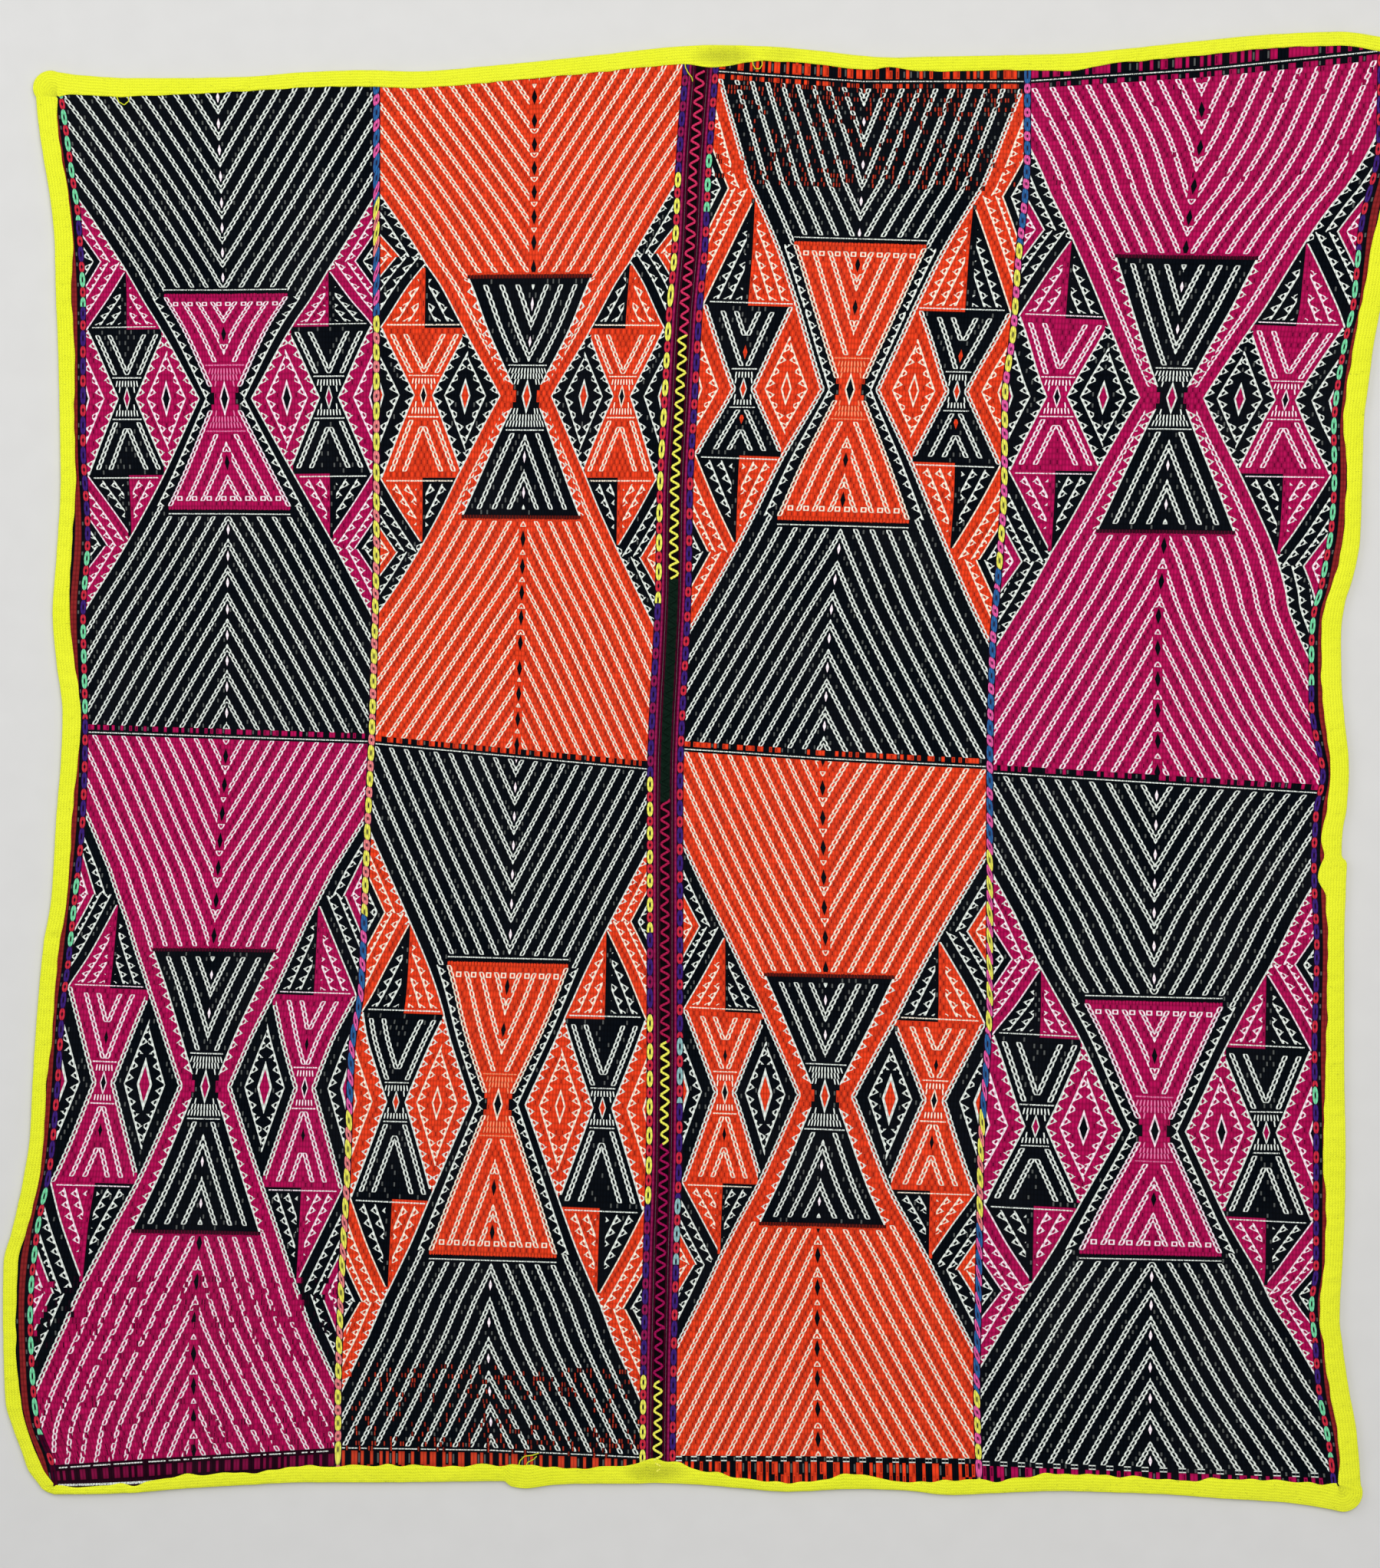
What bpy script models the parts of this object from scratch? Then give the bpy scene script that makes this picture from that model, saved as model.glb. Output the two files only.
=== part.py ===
"""Aguayo: a carrying cloth of two woven panels, joined by a stitched seam and bound with knit tape.

The cloth lies flat on a surface. +X is to the right, +Y is the far edge and +Z is up. The origin
is on the surface, under the middle of the cloth's box. Lengths are in millimetres until a mesh is
made, where MM turns them into metres.
"""

import math

import bpy

MM = 0.001

# Thicknesses and clearances
CLOTH = 1.6            # a woven panel
TAPE = 1.0             # one leg of the folded tape
FOLD = 1.1             # the tape's wall at its outer fold
GAP = 0.3              # between neighbouring pieces
TUCK = 3.5             # from the tape's outer side to the cloth's raw edge inside the fold
CROWN = 0.5            # how far the tape's upper leg swells
LOWER_LEG_SHORT = 1.5  # the lower leg is this much narrower than the upper one

# The cloth's edge is lifted onto the tape's lower leg, and comes down to the surface beside it
LIFT = TAPE + GAP
CLEAR_OF_TAPE = 2.0
DOWN_ON_SURFACE = 12.0

# The seam and its zigzag of raised stitches
SEAM_HALF = 5.2
STITCH_REACH = 2.9
STITCH_RISE = 1.1
SEAM_ROUNDING = 0.3
SEAM_EDGE_WAVE = 0.1
STITCH_STEP = 5.45     # half of one zigzag, along the seam

# How finely the pieces are divided
PANEL_COLUMNS = 8
PANEL_ROWS = 18
TAPE_STEP = 20.0
CORNER_STEPS = 4
CORNER_CORE = 1.0      # radius left round a corner's inner point

# The four edges, each row in order along its edge: the place along the edge, where the tape's
# outer side runs there, and how wide the tape is. The first and last rows are the corners.
BOTTOM_EDGE = (  # x, y of the outer side, width
    (-491.5, -546.0, 7.0),
    (-472.0, -546.0, 6.0),
    (-434.0, -545.0, 6.5),
    (-398.0, -542.0, 10.0),
    (-347.0, -539.0, 9.5),
    (-302.0, -537.0, 12.0),
    (-248.0, -537.0, 13.0),
    (-196.0, -536.5, 12.0),
    (-152.0, -536.0, 12.0),
    (-147.0, -540.0, 16.5),
    (-135.0, -541.5, 18.0),
    (-116.0, -539.0, 13.5),
    (-92.0, -538.0, 11.5),
    (-54.0, -538.0, 15.5),
    (-39.0, -537.5, 18.0),
    (-9.0, -538.5, 12.5),
    (22.0, -541.0, 8.5),
    (62.0, -544.0, 6.5),
    (114.0, -542.0, 11.0),
    (149.0, -543.0, 6.5),
    (185.0, -546.5, 11.0),
    (222.0, -545.0, 10.0),
    (266.0, -543.5, 13.0),
    (306.0, -544.5, 13.0),
    (347.0, -546.0, 11.0),
    (388.0, -549.0, 14.5),
    (436.0, -552.0, 16.5),
    (465.0, -556.0, 18.0),
    (477.5, -558.5, 19.5),
)
RIGHT_EDGE = (  # y, x of the outer side, width
    (-539.0, 495.0, 17.5),
    (-518.0, 493.5, 14.5),
    (-497.0, 491.5, 14.5),
    (-464.0, 485.5, 15.0),
    (-432.0, 481.0, 14.0),
    (-413.0, 479.0, 15.5),
    (-364.0, 481.5, 13.5),
    (-327.0, 483.0, 14.5),
    (-288.0, 483.5, 17.0),
    (-222.0, 482.5, 14.0),
    (-128.0, 482.5, 12.5),
    (-94.0, 483.5, 15.5),
    (-80.0, 484.0, 21.0),
    (-69.0, 484.5, 19.0),
    (-64.0, 480.5, 13.5),
    (-48.0, 481.0, 16.0),
    (-26.0, 484.5, 14.5),
    (2.0, 486.0, 14.0),
    (41.0, 482.5, 15.0),
    (67.0, 480.5, 15.0),
    (102.0, 480.0, 15.0),
    (127.0, 483.0, 14.5),
    (146.0, 489.0, 14.0),
    (176.0, 494.5, 13.0),
    (219.0, 496.0, 11.5),
    (266.0, 497.5, 15.5),
    (290.0, 500.5, 16.0),
    (324.0, 505.0, 15.0),
    (350.0, 510.0, 15.0),
    (399.0, 518.5, 15.0),
    (425.0, 523.0, 13.0),
    (456.0, 527.0, 12.5),
    (496.0, 530.0, 12.5),
    (525.0, 529.5, 12.5),
    (542.5, 528.0, 14.0),
)
TOP_EDGE = (  # x, y of the outer side, width
    (-489.0, 528.0, 19.0),
    (-475.0, 526.0, 15.0),
    (-434.0, 523.5, 14.0),
    (-399.0, 523.5, 12.5),
    (-347.0, 524.5, 11.0),
    (-302.0, 528.0, 11.5),
    (-255.0, 529.5, 12.5),
    (-222.0, 528.5, 12.5),
    (-160.0, 533.0, 12.5),
    (-80.0, 541.0, 13.0),
    (-18.0, 547.5, 13.5),
    (5.0, 548.5, 17.0),
    (45.0, 547.5, 11.0),
    (87.0, 544.0, 10.5),
    (117.0, 540.5, 10.5),
    (142.0, 539.0, 7.5),
    (163.0, 539.5, 11.0),
    (240.0, 541.0, 11.5),
    (276.0, 542.0, 13.0),
    (311.0, 545.0, 10.0),
    (373.0, 551.5, 11.0),
    (427.0, 556.5, 10.5),
    (480.0, 558.5, 10.5),
    (514.0, 554.0, 11.5),
)
LEFT_EDGE = (  # y, x of the outer side, width
    (-539.0, -503.0, 11.5),
    (-527.0, -511.5, 11.5),
    (-513.0, -516.5, 10.5),
    (-497.0, -522.5, 10.5),
    (-476.0, -528.5, 11.5),
    (-439.0, -530.0, 9.5),
    (-404.0, -530.5, 10.0),
    (-371.0, -530.0, 11.0),
    (-348.0, -524.0, 11.0),
    (-310.0, -515.5, 12.0),
    (-274.0, -510.0, 10.5),
    (-242.0, -508.5, 10.5),
    (-201.0, -506.0, 12.5),
    (-132.0, -500.0, 12.0),
    (-96.0, -494.0, 12.0),
    (-32.0, -490.0, 12.0),
    (12.0, -486.5, 13.0),
    (43.0, -485.5, 14.0),
    (86.0, -490.5, 13.5),
    (119.0, -493.0, 13.0),
    (163.0, -490.0, 11.0),
    (219.0, -487.0, 11.5),
    (260.0, -487.5, 11.0),
    (324.0, -489.0, 12.5),
    (359.0, -490.5, 11.5),
    (400.0, -491.5, 14.0),
    (434.0, -495.0, 14.0),
    (461.0, -499.5, 14.0),
    (492.0, -504.0, 14.5),
    (509.0, -505.5, 16.5),
)

# How far the tape reaches from a corner's inner point to its rounded outside, on the diagonal
CORNER_REACH = {"bottom_left": 7.5, "bottom_right": 21.5, "top_right": 12.5, "top_left": 22.0}

# Where the middle of the seam runs
SEAM_LINE = (  # y, x
    (-560.0, -36.5),
    (-460.0, -35.5),
    (-370.0, -33.5),
    (-280.0, -31.0),
    (-200.0, -30.5),
    (-20.0, -30.5),
    (145.0, -24.0),
    (212.0, -23.0),
    (280.0, -19.5),
    (346.0, -16.0),
    (398.0, -11.5),
    (454.0, -9.0),
    (550.0, -2.0),
)

# Low swells where the cloth does not lie quite flat
SWELLS = (  # x, y, reach in x, reach in y, height
    (-330.0, 405.0, 110.0, 75.0, 1.6),
    (-150.0, 290.0, 80.0, 100.0, 1.2),
    (-420.0, 120.0, 60.0, 120.0, 1.4),
    (-390.0, -330.0, 85.0, 110.0, 2.0),
    (-170.0, -440.0, 90.0, 60.0, 1.5),
    (140.0, 430.0, 90.0, 70.0, 1.8),
    (400.0, 330.0, 80.0, 110.0, 2.0),
    (230.0, 60.0, 120.0, 80.0, 1.0),
    (380.0, -250.0, 75.0, 130.0, 1.4),
    (160.0, -430.0, 100.0, 65.0, 1.6),
)

# Colour, roughness and metallic value of each piece
FINISHES = {
    "panel_left": ((0.30, 0.02, 0.10), 0.9, 0.0),
    "panel_right": ((0.70, 0.10, 0.03), 0.9, 0.0),
    "centre_seam": ((0.12, 0.01, 0.04), 0.9, 0.0),
    "binding": ((0.80, 0.86, 0.02), 0.8, 0.0),
}


def steepness(rows, column):
    """Slope at each row of a table, flat at each high and low point, so a curve never overshoots."""
    rises = [
        (b[column] - a[column]) / (b[0] - a[0])
        for a, b in zip(rows, rows[1:])
    ]
    slopes = [rises[0]]
    for before, after in zip(rises, rises[1:]):
        same_way = before * after > 0.0
        slopes.append(2.0 * before * after / (before + after) if same_way else 0.0)
    slopes.append(rises[-1])
    return slopes


def curve(rows, column):
    """A function that runs smoothly through one column of a table."""
    slopes = steepness(rows, column)

    def value(at):
        at = min(max(at, rows[0][0]), rows[-1][0])
        i = 0
        while i < len(rows) - 2 and at > rows[i + 1][0]:
            i += 1
        span = rows[i + 1][0] - rows[i][0]
        t = (at - rows[i][0]) / span
        start = rows[i][column]
        end = rows[i + 1][column]
        ease = t * t * (3.0 - 2.0 * t)
        leave = t * (1.0 - t) ** 2 * span * slopes[i]
        arrive = t * t * (t - 1.0) * span * slopes[i + 1]
        return start + (end - start) * ease + leave + arrive

    return value


bottom_outer = curve(BOTTOM_EDGE, 1)
bottom_width = curve(BOTTOM_EDGE, 2)
right_outer = curve(RIGHT_EDGE, 1)
right_width = curve(RIGHT_EDGE, 2)
top_outer = curve(TOP_EDGE, 1)
top_width = curve(TOP_EDGE, 2)
left_outer = curve(LEFT_EDGE, 1)
left_width = curve(LEFT_EDGE, 2)
seam_line = curve(SEAM_LINE, 1)


def middle_of_box():
    """Middle of the box round the tape's outer side."""
    lows_x = [row[1] for row in LEFT_EDGE]
    highs_x = [row[1] for row in RIGHT_EDGE]
    lows_y = [row[1] for row in BOTTOM_EDGE]
    highs_y = [row[1] for row in TOP_EDGE]
    return (min(lows_x) + max(highs_x)) / 2.0, (min(lows_y) + max(highs_y)) / 2.0


MIDDLE = middle_of_box()


def corners():
    """Each corner's inner point, the way its arc starts, and its reach at start, diagonal and end."""
    return (
        ("bottom_left", BOTTOM_EDGE[0][0], LEFT_EDGE[0][0], 180.0, LEFT_EDGE[0][2], BOTTOM_EDGE[0][2]),
        ("bottom_right", BOTTOM_EDGE[-1][0], RIGHT_EDGE[0][0], 270.0, BOTTOM_EDGE[-1][2], RIGHT_EDGE[0][2]),
        ("top_right", TOP_EDGE[-1][0], RIGHT_EDGE[-1][0], 0.0, RIGHT_EDGE[-1][2], TOP_EDGE[-1][2]),
        ("top_left", TOP_EDGE[0][0], LEFT_EDGE[-1][0], 90.0, TOP_EDGE[0][2], LEFT_EDGE[-1][2]),
    )


def corner_reach(corner, share):
    """The tape's reach from a corner's inner point, from share 0 at its start to 1 at its end."""
    name, _, _, _, first, last = corner
    diagonal = CORNER_REACH[name]
    at_first = first * (1.0 - share) * (1.0 - 2.0 * share)
    at_diagonal = diagonal * 4.0 * share * (1.0 - share)
    at_last = last * share * (2.0 * share - 1.0)
    return at_first + at_diagonal + at_last


def held_in_corner(x, y):
    """Draws a point of the cloth back inside the tape's fold where a corner is rounded."""
    for corner in corners():
        _, corner_x, corner_y, start, _, _ = corner
        away = math.hypot(x - corner_x, y - corner_y)
        turn = (math.degrees(math.atan2(y - corner_y, x - corner_x)) - start) % 360.0
        if away > 0.0 and turn <= 90.0:
            furthest = corner_reach(corner, turn / 90.0) - TUCK
            if away > furthest:
                x = corner_x + (x - corner_x) * furthest / away
                y = corner_y + (y - corner_y) * furthest / away
    return x, y


def swell(x, y):
    """Height of the low swells at a point."""
    height = 0.0
    for at_x, at_y, reach_x, reach_y, rise in SWELLS:
        away = math.hypot((x - at_x) / reach_x, (y - at_y) / reach_y)
        if away < 1.0:
            height += rise * math.cos(away * math.pi / 2.0) ** 2
    return height


def insets(width):
    """Where the cloth's lines run beside an edge: raw edge, clear of the tape, on the surface."""
    return min(TUCK, width / 2.0), width + CLEAR_OF_TAPE, width + DOWN_ON_SURFACE


def row_places(x):
    """The y of each of a panel's rows at one x, bottom to top."""
    low = [bottom_outer(x) + inset for inset in insets(bottom_width(x))]
    high = [top_outer(x) - inset for inset in reversed(insets(top_width(x)))]
    between = [
        low[-1] + (high[0] - low[-1]) * j / PANEL_ROWS
        for j in range(1, PANEL_ROWS)
    ]
    return low + between + high


def column_places(y, side):
    """The x of each of a panel's columns at one y, left to right."""
    if side == "left":
        outside = [left_outer(y) + inset for inset in insets(left_width(y))]
        inside = seam_line(y) - SEAM_HALF - GAP
        return outside + [
            outside[-1] + (inside - outside[-1]) * i / PANEL_COLUMNS
            for i in range(1, PANEL_COLUMNS + 1)
        ]
    outside = [right_outer(y) - inset for inset in reversed(insets(right_width(y)))]
    inside = seam_line(y) + SEAM_HALF + GAP
    return [
        inside + (outside[0] - inside) * i / PANEL_COLUMNS
        for i in range(PANEL_COLUMNS)
    ] + outside


def lift_of_line(index, count):
    """How far a panel's row or column is lifted, from its place among the others."""
    from_edge = min(index, count - 1 - index)
    return LIFT if from_edge < 2 else 0.0


def finish_of(name):
    """The piece's material."""
    colour, roughness, metallic = FINISHES[name]
    material = bpy.data.materials.new(name)
    material.use_nodes = True
    shader = material.node_tree.nodes["Principled BSDF"]
    shader.inputs["Base Color"].default_value = (*colour, 1.0)
    shader.inputs["Roughness"].default_value = roughness
    shader.inputs["Metallic"].default_value = metallic
    material.diffuse_color = (*colour, 1.0)
    return material


def add_piece(name, points, faces):
    """Makes one named object from points in millimetres."""
    middle_x, middle_y = MIDDLE
    mesh = bpy.data.meshes.new(name)
    placed = [((x - middle_x) * MM, (y - middle_y) * MM, z * MM) for x, y, z in points]
    mesh.from_pydata(placed, [], faces)
    mesh.validate()
    mesh.update()
    mesh.materials.append(finish_of(name))
    piece = bpy.data.objects.new(name, mesh)
    bpy.context.scene.collection.objects.link(piece)
    return piece


def panel_point(row, column, side):
    """Where a panel's row and column cross."""
    x, y = 0.0, 0.0
    for _ in range(6):
        x = column_places(y, side)[column]
        y = row_places(x)[row]
    return held_in_corner(x, y)


def add_panel(name, side):
    """A woven panel: a thin closed sheet, lifted at its bound edges."""
    columns = len(column_places(0.0, side))
    rows = len(row_places(0.0))
    under, over = [], []
    for j in range(rows):
        for i in range(columns):
            x, y = panel_point(j, i, side)
            outer_column = i if side == "left" else columns - 1 - i
            edge_lift = LIFT if outer_column < 2 else 0.0
            height = max(edge_lift, lift_of_line(j, rows)) + swell(x, y)
            under.append((x, y, height))
            over.append((x, y, height + CLOTH))
    count = rows * columns
    faces = []
    for j in range(rows - 1):
        for i in range(columns - 1):
            a = j * columns + i
            b, c, d = a + 1, a + 1 + columns, a + columns
            faces.append((a + count, b + count, c + count, d + count))
            faces.append((a, d, c, b))
    around = [i for i in range(columns - 1)]
    around += [j * columns + columns - 1 for j in range(rows - 1)]
    around += [(rows - 1) * columns + i for i in range(columns - 1, 0, -1)]
    around += [j * columns for j in range(rows - 1, 0, -1)]
    for a, b in zip(around, around[1:] + around[:1]):
        faces.append((a, b, b + count, a + count))
    return add_piece(name, under + over, faces)


def seam_rows():
    """The y of each panel row where it meets the seam."""
    places = []
    for j in range(len(row_places(0.0))):
        y = 0.0
        for _ in range(6):
            y = row_places(seam_line(y))[j]
        places.append(y)
    return places


def add_seam():
    """The joining seam: a band of thread with a zigzag of raised stitches along its top."""
    rows = seam_rows()
    middles = [seam_line(y) for y in rows]
    lifts = [lift_of_line(j, len(rows)) for j in range(len(rows))]
    points, faces, sections, bases = [], [], [], []

    def add(x, y, z):
        points.append((x, y, z))
        return len(points) - 1

    stitch = 0
    for j, (y, middle, lift) in enumerate(zip(rows, middles, lifts)):
        bases.append((add(middle - SEAM_HALF, y, lift), add(middle + SEAM_HALF, y, lift)))
        if j == len(rows) - 1:
            steps = 1
        else:
            steps = max(1, round((rows[j + 1] - y) / STITCH_STEP))
        for step in range(steps):
            share = step / steps
            at_y = y + (rows[j + 1] - y) * share if share else y
            at_x = middle + (middles[j + 1] - middle) * share if share else middle
            height = lift + (lifts[j + 1] - lift) * share if share else lift
            shows = j + share > 1.0 and j < len(rows) - 2
            left_up = stitch % 2 == 0
            wave = SEAM_EDGE_WAVE if left_up else 0.0
            low = CLOTH + (SEAM_ROUNDING if shows else 0.0)
            high = CLOTH + (STITCH_RISE if shows else 0.0)
            heights = (
                CLOTH - wave,
                high if left_up else low,
                low if left_up else high,
                CLOTH - wave,
            )
            across = (-SEAM_HALF, -STITCH_REACH, STITCH_REACH, SEAM_HALF)
            sections.append((j, left_up, [add(at_x + a, at_y, height + z) for a, z in zip(across, heights)]))
            stitch += 1

    for (_, left_up, a), (_, _, b) in zip(sections, sections[1:]):
        faces.append((a[0], a[1], b[1], b[0]))
        faces.append((a[2], a[3], b[3], b[2]))
        if left_up:
            faces += [(a[1], a[2], b[2]), (a[1], b[2], b[1])]
        else:
            faces += [(a[1], a[2], b[1]), (a[2], b[2], b[1])]
    for j in range(len(rows) - 1):
        near, far = bases[j], bases[j + 1]
        faces.append((near[0], far[0], far[1], near[1]))
        last = next(i for i, section in enumerate(sections) if section[0] == j + 1)
        run = [section[2] for section in sections if section[0] == j] + [sections[last][2]]
        faces.append((far[0], near[0], *[section[0] for section in run]))
        faces.append((near[1], far[1], *[section[3] for section in reversed(run)]))
    first, final = sections[0][2], sections[-1][2]
    faces.append((bases[0][0], bases[0][1], *reversed(first)))
    faces.append((bases[-1][1], bases[-1][0], *final))
    return add_piece("centre_seam", points, faces)


def tape_section(width):
    """The folded tape's outline: distance in from the outer side, and height."""
    upper = LIFT + CLOTH + GAP
    lower = width - LOWER_LEG_SHORT
    return (
        (1.0, 0.0),
        (lower, 0.0),
        (lower, TAPE),
        (FOLD, TAPE),
        (FOLD, upper),
        (width, upper),
        (width - 0.4, upper + 0.8 * TAPE),
        (width / 2.0, upper + TAPE + CROWN - 0.2),
        (1.0, upper + 0.9 * TAPE),
        (0.0, upper - 0.2),
        (0.0, TAPE + 0.1),
    )


def stations(start, end):
    """Places along an edge between two corners, about TAPE_STEP apart."""
    steps = round((end - start) / TAPE_STEP)
    return [start + (end - start) * (i + 0.5) / steps for i in range(steps)]


def tape_course():
    """Stations round the cloth, anticlockwise: the outer point, the way in, and the width."""
    course = []

    def turn_corner(corner):
        _, corner_x, corner_y, start, _, _ = corner
        for step in range(CORNER_STEPS + 1):
            share = step / CORNER_STEPS
            angle = math.radians(start + 90.0 * share)
            out_x, out_y = math.cos(angle), math.sin(angle)
            reach = corner_reach(corner, share)
            outer = (corner_x + out_x * reach, corner_y + out_y * reach)
            course.append((outer, (-out_x, -out_y), reach - CORNER_CORE))

    bottom_left, bottom_right, top_right, top_left = corners()
    turn_corner(bottom_left)
    for x in stations(BOTTOM_EDGE[0][0], BOTTOM_EDGE[-1][0]):
        course.append(((x, bottom_outer(x)), (0.0, 1.0), bottom_width(x)))
    turn_corner(bottom_right)
    for y in stations(RIGHT_EDGE[0][0], RIGHT_EDGE[-1][0]):
        course.append(((right_outer(y), y), (-1.0, 0.0), right_width(y)))
    turn_corner(top_right)
    for x in reversed(stations(TOP_EDGE[0][0], TOP_EDGE[-1][0])):
        course.append(((x, top_outer(x)), (0.0, -1.0), top_width(x)))
    turn_corner(top_left)
    for y in reversed(stations(LEFT_EDGE[0][0], LEFT_EDGE[-1][0])):
        course.append(((left_outer(y), y), (1.0, 0.0), left_width(y)))
    return course


def add_binding():
    """The knit tape, folded over the cloth's edge all the way round."""
    course = tape_course()
    points, faces = [], []
    for (outer_x, outer_y), (in_x, in_y), width in course:
        for inward, height in tape_section(width):
            points.append((outer_x + in_x * inward, outer_y + in_y * inward, height))
    size = len(tape_section(TAPE_STEP))
    total = len(course)
    for k in range(total):
        here, there = k * size, (k + 1) % total * size
        for i in range(size):
            following = (i + 1) % size
            faces.append((here + i, here + following, there + following, there + i))
    return add_piece("binding", points, faces)


def main():
    for thing in list(bpy.data.objects):
        bpy.data.objects.remove(thing, do_unlink=True)
    add_panel("panel_left", "left")
    add_panel("panel_right", "right")
    add_seam()
    add_binding()


main()
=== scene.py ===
"""Looks of the aguayo: woven pattern, joining seam, knit tape and the light it lies in.

The pattern is charted the way it is woven, in cells of one warp pair by one pick. Each cell has a
ground colour and at most one mark, and the cloth's material draws the mark inside the cell.
Lengths on the cloth are in millimetres, and chart levels are in pixels of a plan whose scale is
PLAN_SCALE. MM turns millimetres into metres.
"""

import math

import bpy
import mathutils
import numpy as np
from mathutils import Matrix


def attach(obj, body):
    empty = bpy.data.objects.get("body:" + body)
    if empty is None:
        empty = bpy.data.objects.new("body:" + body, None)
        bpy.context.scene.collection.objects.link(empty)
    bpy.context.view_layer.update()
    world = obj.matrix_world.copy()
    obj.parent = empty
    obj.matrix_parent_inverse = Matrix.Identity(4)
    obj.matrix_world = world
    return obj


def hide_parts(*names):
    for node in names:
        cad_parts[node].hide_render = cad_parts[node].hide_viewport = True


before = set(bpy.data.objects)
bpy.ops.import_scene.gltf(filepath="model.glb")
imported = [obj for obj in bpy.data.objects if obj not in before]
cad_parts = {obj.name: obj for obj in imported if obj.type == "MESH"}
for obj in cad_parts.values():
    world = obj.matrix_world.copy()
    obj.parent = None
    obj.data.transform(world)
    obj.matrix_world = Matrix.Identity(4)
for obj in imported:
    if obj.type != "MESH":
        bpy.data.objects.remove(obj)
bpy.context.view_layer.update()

MM = 0.001
SEED = 1871

# The plan that the chart's levels are given in
PLAN_SCALE = 0.58
PLAN_MIDDLE = (919.5, 1005.5)

# Thicknesses and clearances of the pieces
CLOTH = 1.6
TAPE = 1.0
GAP = 0.3
TUCK = 3.5              # from the tape's outer side to the cloth's edge inside its fold
CROWN = 0.5             # how far the tape's upper leg bulges
LOWER_LEG_SHORT = 1.5   # how much narrower the tape's lower leg is
LIFT = TAPE + GAP       # height of the cloth where it lies on the tape's lower leg
CLEAR_OF_TAPE = 2.0     # the cloth stays that high up to here, beside the tape
DOWN_ON_SURFACE = 12.0  # and lies on the surface from here
SEAM_HALF = 5.2
CORNER_CORE = 1.0       # from a corner's inner point to the tape's inner side

# Half widths of the warp stripes, and how far from the seam's middle the cells beside it start
STRIPE_HALF = 4.0 * PLAN_SCALE
DIVIDE_HALF = 5.0 * PLAN_SCALE
SPOTS_FROM_SEAM = 15.0 * PLAN_SCALE
COLUMN_FROM_SEAM = 24.0 * PLAN_SCALE

# The four edges: place along the edge, where the tape's outer side runs, and the tape's width
BOTTOM_EDGE = (  # x, y of the outer side, width
    (-491.5, -546, 7), (-472, -546, 6), (-434, -545, 6.5), (-398, -542, 10),
    (-347, -539, 9.5), (-302, -537, 12), (-248, -537, 13), (-196, -536.5, 12),
    (-152, -536, 12), (-147, -540, 16.5), (-135, -541.5, 18), (-116, -539, 13.5),
    (-92, -538, 11.5), (-54, -538, 15.5), (-39, -537.5, 18), (-9, -538.5, 12.5),
    (22, -541, 8.5), (62, -544, 6.5), (114, -542, 11), (149, -543, 6.5),
    (185, -546.5, 11), (222, -545, 10), (266, -543.5, 13), (306, -544.5, 13),
    (347, -546, 11), (388, -549, 14.5), (436, -552, 16.5), (465, -556, 18),
    (477.5, -558.5, 19.5),
)
RIGHT_EDGE = (  # y, x of the outer side, width
    (-539, 495, 17.5), (-518, 493.5, 14.5), (-497, 491.5, 14.5), (-464, 485.5, 15),
    (-432, 481, 14), (-413, 479, 15.5), (-364, 481.5, 13.5), (-327, 483, 14.5),
    (-288, 483.5, 17), (-222, 482.5, 14), (-128, 482.5, 12.5), (-94, 483.5, 15.5),
    (-80, 484, 21), (-69, 484.5, 19), (-64, 480.5, 13.5), (-48, 481, 16),
    (-26, 484.5, 14.5), (2, 486, 14), (41, 482.5, 15), (67, 480.5, 15),
    (102, 480, 15), (127, 483, 14.5), (146, 489, 14), (176, 494.5, 13),
    (219, 496, 11.5), (266, 497.5, 15.5), (290, 500.5, 16), (324, 505, 15),
    (350, 510, 15), (399, 518.5, 15), (425, 523, 13), (456, 527, 12.5),
    (496, 530, 12.5), (525, 529.5, 12.5), (542.5, 528, 14),
)
TOP_EDGE = (  # x, y of the outer side, width
    (-489, 528, 19), (-475, 526, 15), (-434, 523.5, 14), (-399, 523.5, 12.5),
    (-347, 524.5, 11), (-302, 528, 11.5), (-255, 529.5, 12.5), (-222, 528.5, 12.5),
    (-160, 533, 12.5), (-80, 541, 13), (-18, 547.5, 13.5), (5, 548.5, 17),
    (45, 547.5, 11), (87, 544, 10.5), (117, 540.5, 10.5), (142, 539, 7.5),
    (163, 539.5, 11), (240, 541, 11.5), (276, 542, 13), (311, 545, 10),
    (373, 551.5, 11), (427, 556.5, 10.5), (480, 558.5, 10.5), (514, 554, 11.5),
)
LEFT_EDGE = (  # y, x of the outer side, width
    (-539, -503, 11.5), (-527, -511.5, 11.5), (-513, -516.5, 10.5), (-497, -522.5, 10.5),
    (-476, -528.5, 11.5), (-439, -530, 9.5), (-404, -530.5, 10), (-371, -530, 11),
    (-348, -524, 11), (-310, -515.5, 12), (-274, -510, 10.5), (-242, -508.5, 10.5),
    (-201, -506, 12.5), (-132, -500, 12), (-96, -494, 12), (-32, -490, 12),
    (12, -486.5, 13), (43, -485.5, 14), (86, -490.5, 13.5), (119, -493, 13),
    (163, -490, 11), (219, -487, 11.5), (260, -487.5, 11), (324, -489, 12.5),
    (359, -490.5, 11.5), (400, -491.5, 14), (434, -495, 14), (461, -499.5, 14),
    (492, -504, 14.5), (509, -505.5, 16.5),
)
CORNER_REACH = {"bottom_left": 7.5, "bottom_right": 21.5, "top_right": 12.5, "top_left": 22.0}
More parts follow.
